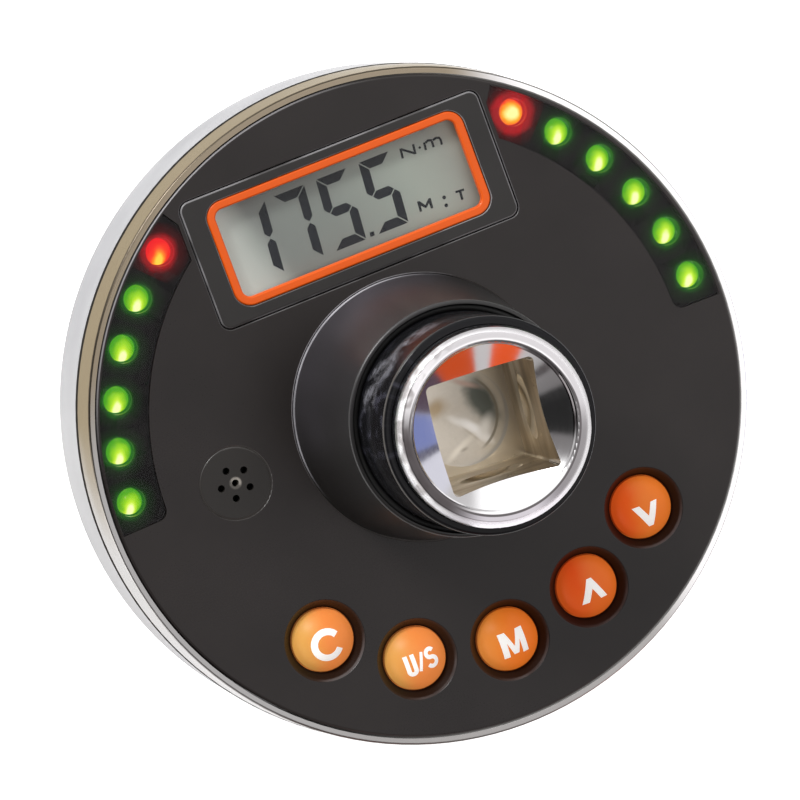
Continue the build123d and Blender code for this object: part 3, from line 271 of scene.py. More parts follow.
def moulded(name, colour, roughness, grain=0.22, depth=0.012, mottle=0.25, specular=0.5, spread=0.08):
    """Moulded plastic: a fine grain, sized in millimetres, and slow changes of tone and of gloss."""
    s = Shader(name)
    fine = s.noise(1 / (grain * MM), detail=2.0)
    slow = s.noise(55.0, detail=4.0, roughness=0.6)
    flow = s.noise(18.0, s.scaled(s.position, (1.0, 2.2, 1.0)), detail=2.0)
    dark = tuple(c * (1 - mottle) for c in colour)
    light = tuple(min(1.0, c * (1 + mottle)) for c in colour)
    s.set(Base_Color=s.blend(s.spread(slow, 0.3, 0.7, 0.0, 1.0), dark, light))
    gloss = s.spread(flow, 0.3, 0.7, roughness - spread / 2, roughness + spread / 2)
    gloss = s.wander(fine, spread, gloss)
    s.set(Roughness=gloss, Normal=s.bump(fine, 0.6, depth * MM), Specular_IOR_Level=specular)
    return s


def turned(name, colour, roughness, line=0.05, depth=0.002, spread=0.06, metallic=1.0):
    """Turned metal: fine rings round the axis, a few deeper ones, and slow changes of polish."""
    s = Shader(name)
    rings = s.ring_space()
    fine = s.noise(1 / (line * MM), rings, detail=3.0, roughness=0.7)
    slow = s.noise(90.0, detail=3.0)
    s.set(
        Base_Color=s.blend(s.spread(slow, 0.3, 0.7, 0.0, 1.0), tuple(c * 0.93 for c in colour), colour),
        Roughness=s.wander(fine, spread, s.spread(slow, 0.3, 0.7, roughness * 0.85, roughness * 1.15)),
        Normal=s.bump(fine, 0.5, depth * MM),
        Metallic=metallic,
    )
    return s


# Materials
def socket_steel(s, radius, blotch, low):
    """Inside of the square: warm broached walls, and a floor with painted reflections, pale streaks and a
    dark patch.
    """
    x, y, z = s.split(s.position)
    streak_space = s.joined(s.times(x, 70.0), s.times(y, 70.0), s.times(z, 330.0))
    streak = s.noise(1.0, streak_space, detail=2.0, roughness=0.45)
    wall = s.ramp(
        streak,
        (0.30, (0.40, 0.335, 0.25)),
        (0.46, (0.56, 0.48, 0.37)),
        (0.55, (0.68, 0.59, 0.465)),
        (0.68, (0.98, 0.93, 0.84)),
    )
    floor = s.blend(s.spread(blotch, 0.3, 0.7, 0.0, 1.0), (0.52, 0.475, 0.40), (0.68, 0.635, 0.555))
    floor = s.blend(s.above(radius, RELIEF_RADIUS * MM), floor, (0.60, 0.535, 0.42))
    # A painted highlight on the relief's step, towards one bearing only
    step = s.near(radius, (RELIEF_RADIUS - 0.4) * MM, 0.25 * MM, 0.4 * MM)
    floor = s.blend(s.times(step, s.towards(-10, 40, 75)), floor, (0.62, 0.56, 0.45))
    # Painted reflections on the floor: centre, reach, angle, softness and tone, the dark patch first
    wobble = s.times(s.minus(s.noise(420.0, detail=3.0), 0.5), 0.8)
    for centre, reach, angle, soft, tone in (
        ((3.6, 0.6), (2.8, 1.35), -76, 0.5, (0.13, 0.14, 0.12)),
        ((-1.9, 1.6), (1.4, 1.0), 0, 0.8, (0.40, 0.31, 0.20)),
        ((0.9, -1.5), (1.6, 0.40), -42, 0.95, (0.86, 0.83, 0.77)),
        ((2.0, -2.75), (1.5, 0.52), -60, 0.8, (1.0, 0.98, 0.94)),
        ((1.25, -3.05), (1.0, 0.13), -60, 0.95, (0.52, 0.47, 0.39)),
        ((-0.6, -4.1), (0.5, 0.20), 0, 0.8, (0.38, 0.34, 0.28)),
        ((2.9, -2.6), (1.3, 0.50), 50, 0.95, (0.84, 0.81, 0.74)),
        ((-0.8, -3.8), (1.9, 0.30), 20, 0.95, (0.78, 0.73, 0.63)),
        ((2.3, 3.4), (1.5, 0.30), -35, 0.9, (0.55, 0.40, 0.33)),
    ):
        floor = s.blend(s.blob(centre, reach, angle, soft, wobble), floor, tone)
    # A painted dark line of shade round the relief, towards one bearing only
    painted_rim_shade = s.near(radius, (RELIEF_RADIUS - 0.9) * MM, 0.06 * MM, 0.16 * MM)
    painted_rim_shade = s.times(painted_rim_shade, s.towards(-13, 42, 64), 0.85)
    floor = s.blend(painted_rim_shade, floor, (0.24, 0.21, 0.155))
    level = s.spread(s.normal()[2], 0.35, 0.6, 0.0, 1.0)
    return s.blend(s.most(low, level), wall, floor)


def lip_chrome(s, radius, height, lip):
    """Polished outside: the rolled lip, with a fine dark step, dark arcs and duller arcs painted on as
    reflections.
    """
    chrome = s.blend(
        s.spread(s.noise(70.0, detail=3.0), 0.3, 0.7, 0.0, 1.0), (0.84, 0.83, 0.84), (0.93, 0.92, 0.93)
    )
    # Painted reflections: the lip's outer rounding duller, mottled pale on the left and grey at one bearing
    painted_reflection = s.spread(radius, 11.1 * MM, 11.9 * MM, 0.0, 1.0, smooth=True)
    painted_reflection = s.blend(painted_reflection, (0.60, 0.59, 0.60), (0.40, 0.39, 0.40))
    mottled_reflection = s.spread(s.noise(620.0, detail=1.0), 0.42, 0.60, 0.0, 1.0, smooth=True)
    mottled_reflection = s.blend(mottled_reflection, (0.84, 0.83, 0.84), (0.46, 0.44, 0.44))
    painted_reflection = s.blend(s.towards(165, 35, 75), painted_reflection, mottled_reflection)
    painted_reflection = s.blend(s.towards(262, 26, 50), painted_reflection, (0.60, 0.575, 0.61))
    chrome = s.blend(s.times(lip, s.spread(radius, 10.4 * MM, 10.6 * MM, 0.0, 1.0)), chrome, painted_reflection)
    # Painted dark reflections in arcs: the step, a ragged one on the left, one at the foot and one at the
    # outer edge
    step = s.math("MULTIPLY_ADD", s.towards(80, 45, 90), 0.30 * MM, radius)
    step = s.near(step, 10.42 * MM, 0.09 * MM, 0.13 * MM)
    step = s.times(step, s.math("MULTIPLY_ADD", s.towards(80, 45, 80), -0.42, 0.93))
    ragged = s.times(s.minus(s.noise(420.0, detail=1.0), 0.5), 0.7 * MM)
    ragged = s.plus(radius, s.times(ragged, s.towards(172, 24, 46)))
    left = s.spread(ragged, 11.1 * MM, 11.55 * MM, 1.0, 0.0, smooth=True)
    left = s.times(s.towards(193, 22, 52), left, 0.97)
    foot = s.times(s.towards(316, 16, 42), s.near(radius, 10.9 * MM, 0.3 * MM, 0.3 * MM), 0.62)
    outer = s.times(s.towards(40, 50, 85), s.spread(radius, 11.4 * MM, 11.8 * MM, 0.0, 1.0), 0.6)
    chrome = s.blend(s.times(s.most(step, left, foot, outer), lip), chrome, (0.075, 0.066, 0.068))
    # A painted dark reflection along the inner edge, towards one bearing
    inner_edge = s.near(radius, 9.85 * MM, 0.15 * MM, 0.1 * MM)
    inner_edge = s.times(inner_edge, s.above(height, (LIP - 0.5) * MM), s.towards(12, 30, 46))
    return s.blend(inner_edge, chrome, (0.12, 0.11, 0.112))


def lip_normal(s, radius, height, lip, low):
    """Normals of the lip, which falls away outside, and those of the floor and the lip's foot, levelled."""
    rolled = s.times(s.most(s.minus(radius, 11.15 * MM), 0.0), -0.85 / MM)
    rolled = s.times(rolled, s.above(height, (LIP - 1.0) * MM))
    foot = s.spread(radius, 11.1 * MM, 11.5 * MM, 0.0, 0.5)
    foot = s.times(foot, s.times(lip, s.towards(292, 42, 72)))
    level = s.add("ShaderNodeMix", data_type="VECTOR")
    s.link(s.most(s.times(low, 0.9), foot), level.inputs[0])
    s.link(s.add("ShaderNodeNewGeometry").outputs["Normal"], level.inputs[4])
    level.inputs[5].default_value = (0.0, 0.0, 1.0)
    return s.bump(rolled, 1.0, MM, level.outputs[1])


def spindle_material():
    """Bright chrome outside and on the countersink; broached, warmer steel inside the square socket."""
    s = Shader("spindle_chrome")
    radius, turn, height = s.polar()
    x, y, z = s.split(s.position)
    # The socket's inside lies below the countersink's cone and within the square's corners
    sink = s.minus(radius, SINK_RADIUS * MM)
    sink = s.math("MULTIPLY_ADD", sink, tan(radians(SINK_SLOPE)), SINK_HEIGHT * MM)
    outer_end = s.above(height, (FACE + 2) * MM)
    inside = s.times(s.below(height, sink), s.below(radius, SOCKET_REACH * MM), outer_end)
    low = s.times(inside, s.below(height, (SOCKET_FLOOR + 0.15) * MM))
    lip = s.times(s.above(height, (LIP - 0.7) * MM), s.above(radius, LIP_INNER * MM))
    blotch = s.noise(240.0, detail=4.0, roughness=0.6)
    chrome = s.blend(outer_end, (0.34, 0.34, 0.35), lip_chrome(s, radius, height, lip))
    steel = socket_steel(s, radius, blotch, low)
    # The ball groove's turned walls get a faint painted glow, the flat walls of the square beside it don't
    facing = s.normal()
    flat = s.most(s.math("ABSOLUTE", facing[0]), s.math("ABSOLUTE", facing[1]))
    groove = s.times(inside, s.near(height, GROOVE * MM, GROOVE_HALF * MM, 0.1 * MM))
    groove = s.times(groove, s.opposite(s.spread(flat, 0.93, 0.97, 0.0, 1.0)))
    broach = s.noise(1.0, s.joined(s.times(x, 5200.0), s.times(y, 5200.0), s.times(z, 120.0)), detail=3.0)
    rings = s.noise(1.0, s.joined(s.times(radius, 9000.0), turn, s.times(z, 9000.0)), detail=2.0)
    # Roughness: fine rings, blotches in the socket, satin at the male end, a duller left of the lip
    dull_left = s.times(lip, s.towards(180, 40, 75), s.spread(radius, 11.2 * MM, 11.7 * MM, 0.0, 1.0))
    sink_gloss = s.spread(radius, 9.7 * MM, LIP_INNER * MM, 0.065, 0.0)
    male_end = s.spread(height, (FACE - 8) * MM, (FACE + 2) * MM, 0.22, 0.0)
    gloss = s.spread(rings, 0.3, 0.7, 0.045, 0.085)
    gloss = s.math("MULTIPLY_ADD", inside, s.spread(blotch, 0.3, 0.7, 0.14, 0.26), gloss)
    gloss = s.plus(s.math("MULTIPLY_ADD", sink_gloss, outer_end, male_end), gloss)
    grain = s.math("MULTIPLY_ADD", inside, broach, s.times(rings, 0.25))
    s.set(
        Base_Color=s.blend(inside, chrome, steel),
        Metallic=1.0,
        Emission_Color=s.blend(groove, NOTHING, (0.10, 0.083, 0.058)),
        Emission_Strength=1.0,
        Roughness=s.math("MULTIPLY_ADD", dull_left, 0.22, gloss),
        Normal=s.bump(grain, 0.35, 0.004 * MM, lip_normal(s, radius, height, lip, low)),
    )
    return s.material


def bezel_material():
    """Brushed bezel with painted reflections: warm bronze on the upper left, running into silver towards the
    foot and the right.
    """
    s = Shader("bezel_metal")
    radius, _, height = s.polar()
    x, y = s.split(s.position)[:2]
    cloud = s.noise(35.0, detail=3.0)
    # Where the painted warm bronze reflection lies: towards the window light and round one bearing
    place = s.wander(cloud, 8 * MM, s.facing_window(x, y))
    warm = s.spread(place, 20 * MM, 34 * MM, 0.0, 1.0, smooth=True)
    warm = s.most(warm, s.towards(82, 18, 27))
    foot = s.spread(height, (FACE - 5) * MM, (FACE - 2.5) * MM, 1.0, 0.0, smooth=True)
    foot = s.times(foot, s.spread(place, 20 * MM, 33 * MM, 1.0, 0.0))
    warm = s.times(warm, s.opposite(foot))
    fine = s.noise(1 / (0.06 * MM), s.ring_space(), detail=3.0, roughness=0.7)
    # The flat top gets a lighter painted reflection, the rounding outside it a dark one except at two
    # bearings, and the inner wall is plain satin with a painted glow
    facing = s.normal()
    flat = s.spread(facing[2], 0.93, 0.985, 0.0, 1.0)
    inward = s.plus(s.times(facing[0], x), s.times(facing[1], y))
    inward = s.spread(s.math("DIVIDE", inward, radius), -0.7, -0.3, 1.0, 0.0)
    inward = s.times(inward, s.towards(-15, 80, 115))
    outward = s.times(s.spread(facing[2], 0.12, 0.3, 0.0, 1.0), s.spread(facing[2], 0.88, 0.97, 1.0, 0.0))
    outward = s.times(outward, s.opposite(s.most(s.towards(-30, 38, 62), s.towards(195, 15, 35))))
    # Painted reflections: bronze, a bright arc, a grey arc on the flat top, and dark on the outer rounding
    bronze = s.blend(flat, (0.225, 0.185, 0.130), (0.31, 0.26, 0.19))
    tone = s.blend(warm, (0.42, 0.41, 0.40), bronze)
    tone = s.blend(s.towards(0, 50, 66), tone, (0.93, 0.925, 0.92))
    tone = s.blend(s.times(s.towards(198, 22, 48), flat), tone, (0.46, 0.455, 0.45))
    tone = s.blend(s.times(outward, 0.85), tone, (0.05, 0.042, 0.034))
    s.set(
        Base_Color=s.blend(inward, tone, (0.60, 0.59, 0.58)),
        Specular_Tint=s.blend(warm, (0.8, 0.8, 0.8), (0.62, 0.58, 0.50)),
        Emission_Color=s.blend(inward, NOTHING, (0.10, 0.098, 0.095)),
        Emission_Strength=1.0,
        Metallic=s.opposite(inward),
        Roughness=s.wander(fine, 0.08, s.spread(cloud, 0.3, 0.7, 0.22, 0.30)),
        Normal=s.bump(fine, 0.5, 0.002 * MM),
    )
    return s.material


def face_material(name, colour, lit_edges):
    """Black satin moulding of the face, with painted highlights on its rounded edges.

    They are those of the "holes", "all" of them, or one "flank" of each.
    """
    s = moulded(name, colour, 0.30, grain=0.20, depth=0.005, mottle=0.18, specular=0.30)
    x, y, z = s.split(s.position)
    radius = s.polar()[0]
    turned_to = s.normal()
    facing = turned_to[2]
    # Painted highlights on rounded edges at the face: on the rim and the hub's crease towards the window
    # light, and on the edges chosen by lit_edges
    off_top = s.spread(facing, 0.90, 0.985, 1.0, 0.0)
    edge = s.times(s.spread(facing, 0.08, 0.3, 0.0, 1.0), off_top)
    edge = s.times(edge, s.spread(z, (FACE - 0.4) * MM, (FACE - 0.25) * MM, 0.0, 1.0))
    patchy = s.spread(s.noise(130.0, detail=3.0), 0.38, 0.58, 0.3, 1.0, smooth=True)
    towards = s.facing_window(x, y)
    lit = s.spread(towards, 4 * MM, 16 * MM, 0.0, 1.0, smooth=True)
    rim = s.spread(towards, 27 * MM, 38 * MM, 0.0, 0.55, smooth=True)
    rim = s.times(s.above(radius, COVER_CREASE * MM), rim)
    crease = s.times(s.below(radius, 17.0 * MM), lit)
    flank = s.math("MULTIPLY_ADD", turned_to[1], 0.92, s.times(turned_to[0], -0.39))
    flank = s.spread(flank, 0.35, 0.80, 0.0, 0.38, smooth=True)
    if lit_edges == "all":
        amount = patchy
    elif lit_edges == "flank":
        amount = s.times(flank, 0.8)
    else:
        pocket = s.times(s.above(y, 14 * MM), 0.5)
        hole = s.times(flank, s.spread(y, -20 * MM, -10 * MM, 1.0, 0.0))
        amount = s.times(s.most(hole, pocket), patchy)
    strong = s.most(rim, crease)
    amount = s.most(s.times(amount, s.below(radius, COVER_CREASE * MM)), strong)
    amount = s.times(amount, edge)
    edge_highlight = s.blend(strong, (0.20, 0.195, 0.20), (0.50, 0.48, 0.50))
    plain = s.base()
    from_grille = s.polar(GRILLE_CENTRE)[0]
    if lit_edges == "flank":
        # The middle hole has a painted glint round its mouth
        painted_glint = s.near(from_grille, 0.50 * MM, 0.12 * MM, 0.25 * MM)
        painted_glint = s.times(painted_glint, s.spread(s.noise(900.0), 0.4, 0.6, 0.25, 1.0))
        plain = s.blend(painted_glint, plain, (0.28, 0.26, 0.23))
    # Painted shade darkens the walls of the keys' recesses
    well_shade = s.times(s.spread(z, (FACE - 0.5) * MM, (FACE - 0.2) * MM, 1.0, 0.0), s.below(y, -15 * MM))
    plain = s.blend(s.times(well_shade, 0.75), plain, (0.0015, 0.0012, 0.0012))
    # The creases beside the bezel and the hub, and the grille's seat, get a painted glow in place of light
    # from the walls next to them
    shade = s.times(s.above(radius, COVER_CREASE * MM), s.towards(-25, 85, 125))
    shade = s.most(shade, s.times(s.below(radius, HUB_CREASE * MM), s.opposite(lit)))
    shade = s.most(shade, s.near(from_grille, GRILLE_RADIUS * MM, 0.25 * MM, 0.1 * MM))
    shade = s.times(shade, off_top)
    s.set(
        Base_Color=s.blend(amount, plain, edge_highlight),
        Emission_Color=s.blend(shade, NOTHING, (0.024, 0.022, 0.021)),
        Emission_Strength=1.0,
    )
    return s.material


def sleeve_material():
    """Glossy black neck sleeve, with greyish streaks of painted reflection on the flank that faces the window
    light.
    """
    s = turned("neck_gloss", (0.006, 0.006, 0.007), 0.16, line=0.12, depth=0.004, spread=0.08, metallic=0.0)
    _, turn, height = s.polar()
    reflection_streaks = s.noise(1.0, s.joined(s.times(turn, 46.0), s.times(height, 330.0)), detail=4.0, roughness=0.65)
    # Painted reflections: grey streaks on one flank and a pale line under the top edge
    marks = s.times(s.spread(reflection_streaks, 0.50, 0.66, 0.0, 1.0, smooth=True), s.towards(150, 12, 40))
    brow_highlight = s.times(s.near(height, (SLEEVE_TOP - 0.3) * MM, 0.12 * MM, 0.12 * MM), s.towards(165, 30, 80))
    plain = s.base()
    tone = s.blend(marks, plain, (0.032, 0.032, 0.042))
    # Two painted patches of brighter reflection, one hatched and one a bar
    hatched = s.times(s.near(height, (SLEEVE_TOP - 8.1) * MM, 1.6 * MM, 1.6 * MM), s.towards(138, 8, 17))
    bar = s.times(s.near(height, (SLEEVE_TOP - 5.3) * MM, 1.2 * MM, 1.6 * MM), s.towards(115, 13, 26))
    mirrored = s.times(s.most(hatched, bar), s.spread(reflection_streaks, 0.38, 0.62, 0.0, 1.0, smooth=True))
    tone = s.blend(mirrored, tone, (0.115, 0.115, 0.128))
    s.set(Base_Color=s.blend(brow_highlight, tone, (0.050, 0.046, 0.042)), Specular_IOR_Level=0.16)
    return s.material


def band_material():
    """Pale satin wall of the case, with painted shade along the seam at its upper edge and towards one
    bearing.
    """
    s = turned("band_metal", (0.325, 0.325, 0.33), 0.46, line=0.05, depth=0.004, metallic=0.25)
    # Painted shade: dark on the sloping upper edge by the seam, and darker towards one bearing
    top = s.spread(s.normal()[2], 0.35, 0.7, 0.0, 1.0)
    plain = s.blend(s.towards(118, 12, 50), s.base(), (0.235, 0.235, 0.245))
    s.set(Base_Color=s.blend(top, plain, (0.05, 0.045, 0.04)))
    return s.material


def collar_material():
    """Tumbled satin moulding, with a painted highlight on the flank that faces the window light and along its
    foot.
    """
    s = Shader("collar_moulding")
    x, y, z = s.split(s.position)
    fine = s.noise(1 / (0.16 * MM), detail=2.0)
    cloud = s.noise(45.0, s.scaled(s.position, (1.0, 1.0, 0.45)), detail=3.0)
    # Painted highlight: paler on the flank towards the window light, less so higher up
    towards = s.plus(s.times(x, -0.52), s.times(y, 0.85))
    low = s.spread(z, (FACE + 2) * MM, (FACE + 16) * MM, 1.0, 0.35, smooth=True)
    bloom = s.times(s.spread(towards, 6 * MM, 15.5 * MM, 0.0, 1.0, smooth=True), low)
    bloom = s.times(bloom, s.spread(cloud, 0.35, 0.65, 0.35, 1.0, smooth=True))
    # A painted highlight along the foot, on the side towards the window light
    painted_reflection = s.spread(z, COLLAR_FOOT * MM, (COLLAR_FOOT + 0.15) * MM, 1.0, 0.0)
    painted_reflection = s.times(painted_reflection, s.spread(towards, 2 * MM, 13 * MM, 0.0, 1.0, smooth=True))
    painted_reflection = s.times(painted_reflection, s.spread(x, -4 * MM, 10 * MM, 1.0, 0.15))
    painted_reflection = s.times(painted_reflection, s.spread(s.noise(220.0, detail=2.0), 0.35, 0.6, 0.45, 1.0))
    moulding = s.blend(bloom, (0.0095, 0.0088, 0.0085), (0.062, 0.057, 0.066))
    s.set(
        Base_Color=s.blend(painted_reflection, moulding, (0.50, 0.49, 0.52)),
        Roughness=s.wander(fine, 0.1, s.spread(cloud, 0.3, 0.7, 0.30, 0.42)),
        Normal=s.bump(fine, 0.6, 0.005 * MM),
    )
    return s.material


def nearest_light(s):
    """Offset in metres from the axis of the nearest indicator light, and 1 where that light is a red one."""
    x, y = s.split(s.position)[:2]
    side = s.math("SIGN", x)
    angle = s.math("ARCTAN2", s.math("ABSOLUTE", x), y)
    place = s.math("ROUND", s.math("DIVIDE", s.minus(angle, FIRST_LIGHT), LIGHT_STEP))
    place = s.math("MINIMUM", s.most(place, 0.0), LAST_LIGHT)
    at = s.math("MULTIPLY_ADD", place, LIGHT_STEP, FIRST_LIGHT)
    dx = s.minus(x, s.times(s.math("SINE", at), LIGHT_CIRCLE * MM, side))
    dy = s.minus(y, s.times(s.math("COSINE", at), LIGHT_CIRCLE * MM))
    red = s.below(place, 0.5)
    return dx, dy, red


def distance_of(s, dx, dy):
    """Length of an offset."""
    return s.math("SQRT", s.plus(s.times(dx, dx), s.times(dy, dy)))


def light_material(name, rim, middle, ring, core):
    """Lit dome: a deep rim, a yellowish inside, and a drawn-out hot spot over the die, low in the dome."""
    s = Shader(name)
    dx, dy, red = nearest_light(s)
    x = s.split(s.position)[0]
    # Axes along and across the direction in which the die sits off centre
    low = Vector((-0.37, -0.93)).normalized()
    along = s.plus(s.times(dx, low.x), s.times(dy, low.y))
    across = s.plus(s.times(dx, -low.y), s.times(dy, low.x))
    sunk = s.math("MULTIPLY_ADD", s.below(x, 0.0), 0.28 * MM, 0.80 * MM)
    spot = distance_of(s, s.times(s.minus(along, sunk), 0.52), across)
    inner = distance_of(s, s.times(s.minus(along, 0.45 * MM), 0.75), across)
    # The right-hand red light burns brighter, with a wider and more central hot spot
    strong = s.times(red, s.above(x, 0.0))
    wide = distance_of(s, s.times(s.minus(along, 0.15 * MM), 0.52), s.times(across, 0.52))
    spot = s.plus(s.times(wide, strong), s.times(spot, s.opposite(strong)))
    wobble = s.times(s.minus(s.noise(900.0, detail=2.0), 0.5), 0.8 * MM)
    spot = s.math("MULTIPLY_ADD", wobble, 0.4, spot)
    lit = s.spread(s.plus(inner, wobble), 0.80 * MM, 1.50 * MM, 1.0, 0.0, smooth=True)
    glow = s.blend(lit, rim, middle)
    halo = s.spread(spot, 0.42 * MM, 0.98 * MM, 1.0, 0.0, smooth=True)
    glow = s.blend(halo, glow, s.blend(strong, ring, (2.3, 1.35, 0.012)))
    hot = s.spread(spot, 0.26 * MM, 0.62 * MM, 1.0, 0.0, smooth=True)
    glow = s.blend(hot, glow, s.blend(strong, core, (2.7, 2.75, 1.0)))
    s.set(Roughness=0.15, Emission_Color=glow, Emission_Strength=1.0)
    s.set(Base_Color=(*[min(1.0, c) * 0.2 for c in middle], 1.0))
    return s.material


def smoked_material():
    """Smoked window: dark clear plastic with the lights' halo scattered in it."""
    s = Shader("smoked_window")
    dx, dy, red = nearest_light(s)
    distance = distance_of(s, s.plus(dx, 0.34 * MM), s.minus(dy, 0.06 * MM))
    tone = s.noise(60.0, detail=3.0)
    distance = s.wander(s.noise(500.0, detail=2.0), 0.7 * MM, distance)
    right = s.above(s.split(s.position)[0], 0.0)
    distance = s.minus(distance, s.times(red, s.math("MULTIPLY_ADD", right, 0.45 * MM, 0.30 * MM)))
    near = s.spread(distance, 1.5 * MM, 2.4 * MM, 1.0, 0.0, smooth=True)
    wide = s.spread(distance, 1.5 * MM, 3.6 * MM, 1.0, 0.0)
    halo = s.math("MULTIPLY_ADD", near, 0.8, s.times(wide, 0.2))
    colour = s.blend(red, (0.018, 0.20, 0.012), s.blend(right, (0.62, 0.010, 0.016), (0.70, 0.012, 0.020)))
    s.set(
        Base_Color=s.blend(tone, (0.004, 0.004, 0.004), (0.011, 0.010, 0.011)),
        Roughness=s.spread(tone, 0.3, 0.7, 0.10, 0.18),
        Emission_Color=s.blend(halo, NOTHING, colour),
        Emission_Strength=1.0,
        Specular_IOR_Level=0.34,
        IOR=1.45,
        Alpha=0.40,
        Normal=s.bump(s.noise(140.0, detail=2.0), 0.15, 0.02 * MM),
    )
    return s.material


def lcd_material():
    """Reflective LCD: grey-green, with painted light making it paler towards the lower left, and a fine
    grain.
    """
    s = Shader("lcd_glass")
    x, y = s.split(s.position)[:2]
    slope = s.plus(x, s.times(s.minus(y, 26.5 * MM), 0.35))
    place = s.spread(slope, -17 * MM, 17 * MM, 0.0, 1.0)
    # Painted light and shade: paler at the lower left and towards the right, darker between
    base = s.ramp(
        place,
        (0.0, (0.38, 0.385, 0.365)),
        (0.13, (0.31, 0.315, 0.30)),
        (0.22, (0.235, 0.24, 0.23)),
        (0.42, (0.245, 0.25, 0.235)),
        (0.58, (0.305, 0.315, 0.29)),
        (0.78, (0.385, 0.40, 0.36)),
        (1.0, (0.35, 0.34, 0.31)),
    )
    # A painted glow along the two ends, more on the left, stands in for light there
    painted_end_glow = s.ramp(
        place,
        (0.0, (0.24, 0.235, 0.22)),
        (0.10, (0.16, 0.16, 0.15)),
        (0.19, NOTHING),
        (0.93, NOTHING),
        (1.0, (0.05, 0.045, 0.035)),
    )
    tone = s.noise(260.0, detail=3.0)
    s.set(
        Base_Color=s.blend(s.spread(tone, 0.3, 0.7, 0.0, 0.10), base, (0.30, 0.36, 0.33)),
        Emission_Color=painted_end_glow,
        Emission_Strength=1.0,
        Roughness=s.spread(tone, 0.3, 0.7, 0.30, 0.38),
        Normal=s.bump(s.noise(9000.0, detail=1.0), 0.1, 0.003 * MM),
    )
    return s.material


def window_material():
    """Clear window: only its gloss and a faint tint are seen."""
    s = Shader("clear_window")
    clear = s.add("ShaderNodeBsdfTransparent")
    clear.inputs["Color"].default_value = (0.96, 0.975, 0.965, 1.0)
    gloss = s.add("ShaderNodeBsdfGlossy")
    gloss.inputs["Color"].default_value = (1.0, 1.0, 1.0, 1.0)
    s.feed(gloss.inputs["Roughness"], s.spread(s.noise(90.0), 0.3, 0.7, 0.03, 0.07))
    facing = s.add("ShaderNodeFresnel")
    facing.inputs["IOR"].default_value = 1.45
    mix = s.add("ShaderNodeMixShader")
    s.link(s.times(facing.outputs[0], 0.3), mix.inputs[0])
    s.link(clear.outputs[0], mix.inputs[1])
    s.link(gloss.outputs[0], mix.inputs[2])
    s.link(mix.outputs[0], s.out.inputs["Surface"])
    s.tree.nodes.remove(s.body)
    return s.material


def button_material():
    """Orange silicone-coated cap: satin, with slow changes of tone, painted light and shade, and a painted
    glow of its own colour.
    """
    name, colour = "orange_button", (0.86, 0.165, 0.018)
    s = moulded(name, colour, 0.42, grain=0.09, depth=0.004, mottle=0.06, spread=0.05, specular=0.18)
    x = s.split(s.position)[0]
    normal = s.normal()
    lean = s.plus(s.times(normal[0], 0.75), s.times(normal[1], -0.20))
    lean = s.wander(s.noise(260.0, detail=3.0), 0.35, lean)
    # Painted light and shade: the tone changes from the left button to the right one, and from one flank of a
    # dome to the other
    place = s.spread(x, -24 * MM, 24 * MM, 0.0, 1.0)
    right_flank = s.ramp(
        place,
        (0.32, (0.94, 0.285, 0.064)),
        (0.50, (0.93, 0.215, 0.022)),
        (0.72, (0.79, 0.138, 0.018)),
        (0.95, (0.86, 0.205, 0.026)),
    )
    left_flank = s.ramp(
        place,
        (0.16, (0.80, 0.39, 0.090)),
        (0.32, (0.86, 0.33, 0.080)),
        (0.50, (0.88, 0.250, 0.030)),
        (0.72, (0.82, 0.086, 0.012)),
        (0.95, (0.86, 0.115, 0.014)),
    )
    tone = s.blend(s.spread(lean, -0.45, 0.10, 1.0, 0.0, smooth=True), right_flank, left_flank)
    # Painted shade darkens the steep walls of the dome
    wall = s.spread(normal[2], 0.15, 0.55, 0.72, 0.0, smooth=True)
    tone = s.blend(wall, tone, (0.16, 0.012, 0.002))
    # Part of the colour is a painted glow, which flattens the shading
    s.set(
        Base_Color=s.blend(0.45, tone, NOTHING),
        Emission_Color=tone,
        Emission_Strength=0.42,
        Subsurface_Weight=0.12,
        Subsurface_Radius=(0.9, 0.3, 0.08),
        Subsurface_Scale=0.8 * MM,
    )
    return s.material


def painted_glow(s, strength):
    """A moulded material that also gives off some of its own colour, as a painted glow."""
    return s.set(Emission_Color=s.base(), Emission_Strength=strength).material


face = face_material("black_face", (0.0156, 0.0128, 0.0120), "holes")
surround = face_material("black_surround", (0.0205, 0.0190, 0.0180), "all")
grille = face_material("grille_moulding", (0.0190, 0.0170, 0.0152), "flank")
collar = collar_material()
sleeve = sleeve_material()
bezel = bezel_material()
band = band_material()
black = moulded(
    "black_moulding", (0.0085, 0.0072, 0.0066), 0.30, grain=0.20, depth=0.005, mottle=0.22, specular=0.35
).material
rubber = moulded(
    "seal_rubber", (0.010, 0.010, 0.010), 0.6, grain=0.12, depth=0.01, mottle=0.2, specular=0.35
).material
orange = moulded(
    "orange_trim", (0.64, 0.088, 0.006), 0.34, grain=0.10, depth=0.003, mottle=0.05, spread=0.05,
    specular=0.25,
)
# The orange trim gets a faint painted glow
orange = painted_glow(orange, 0.12)
steel = turned("plain_steel", (0.62, 0.63, 0.65), 0.28, line=0.08, depth=0.003).material
wire = turned("spring_steel", (0.50, 0.50, 0.52), 0.32, line=0.05, depth=0.002).material
bush = moulded("bush_polymer", (0.72, 0.70, 0.64), 0.45, mottle=0.05).material
white = moulded("white_moulding", (0.75, 0.75, 0.72), 0.42, mottle=0.04).material
board = moulded("board_laminate", (0.012, 0.11, 0.045), 0.30, grain=0.35, depth=0.01, mottle=0.2).material
carbon = moulded("contact_rubber", (0.16, 0.16, 0.17), 0.65, mottle=0.15).material
chip = moulded("chip_resin", (0.012, 0.012, 0.013), 0.45, grain=0.08, mottle=0.2).material
nickel = turned("cell_nickel", (0.72, 0.71, 0.69), 0.26, line=0.1, depth=0.003).material
brass = turned("contact_brass", (0.78, 0.60, 0.30), 0.28, line=0.1, depth=0.002).material
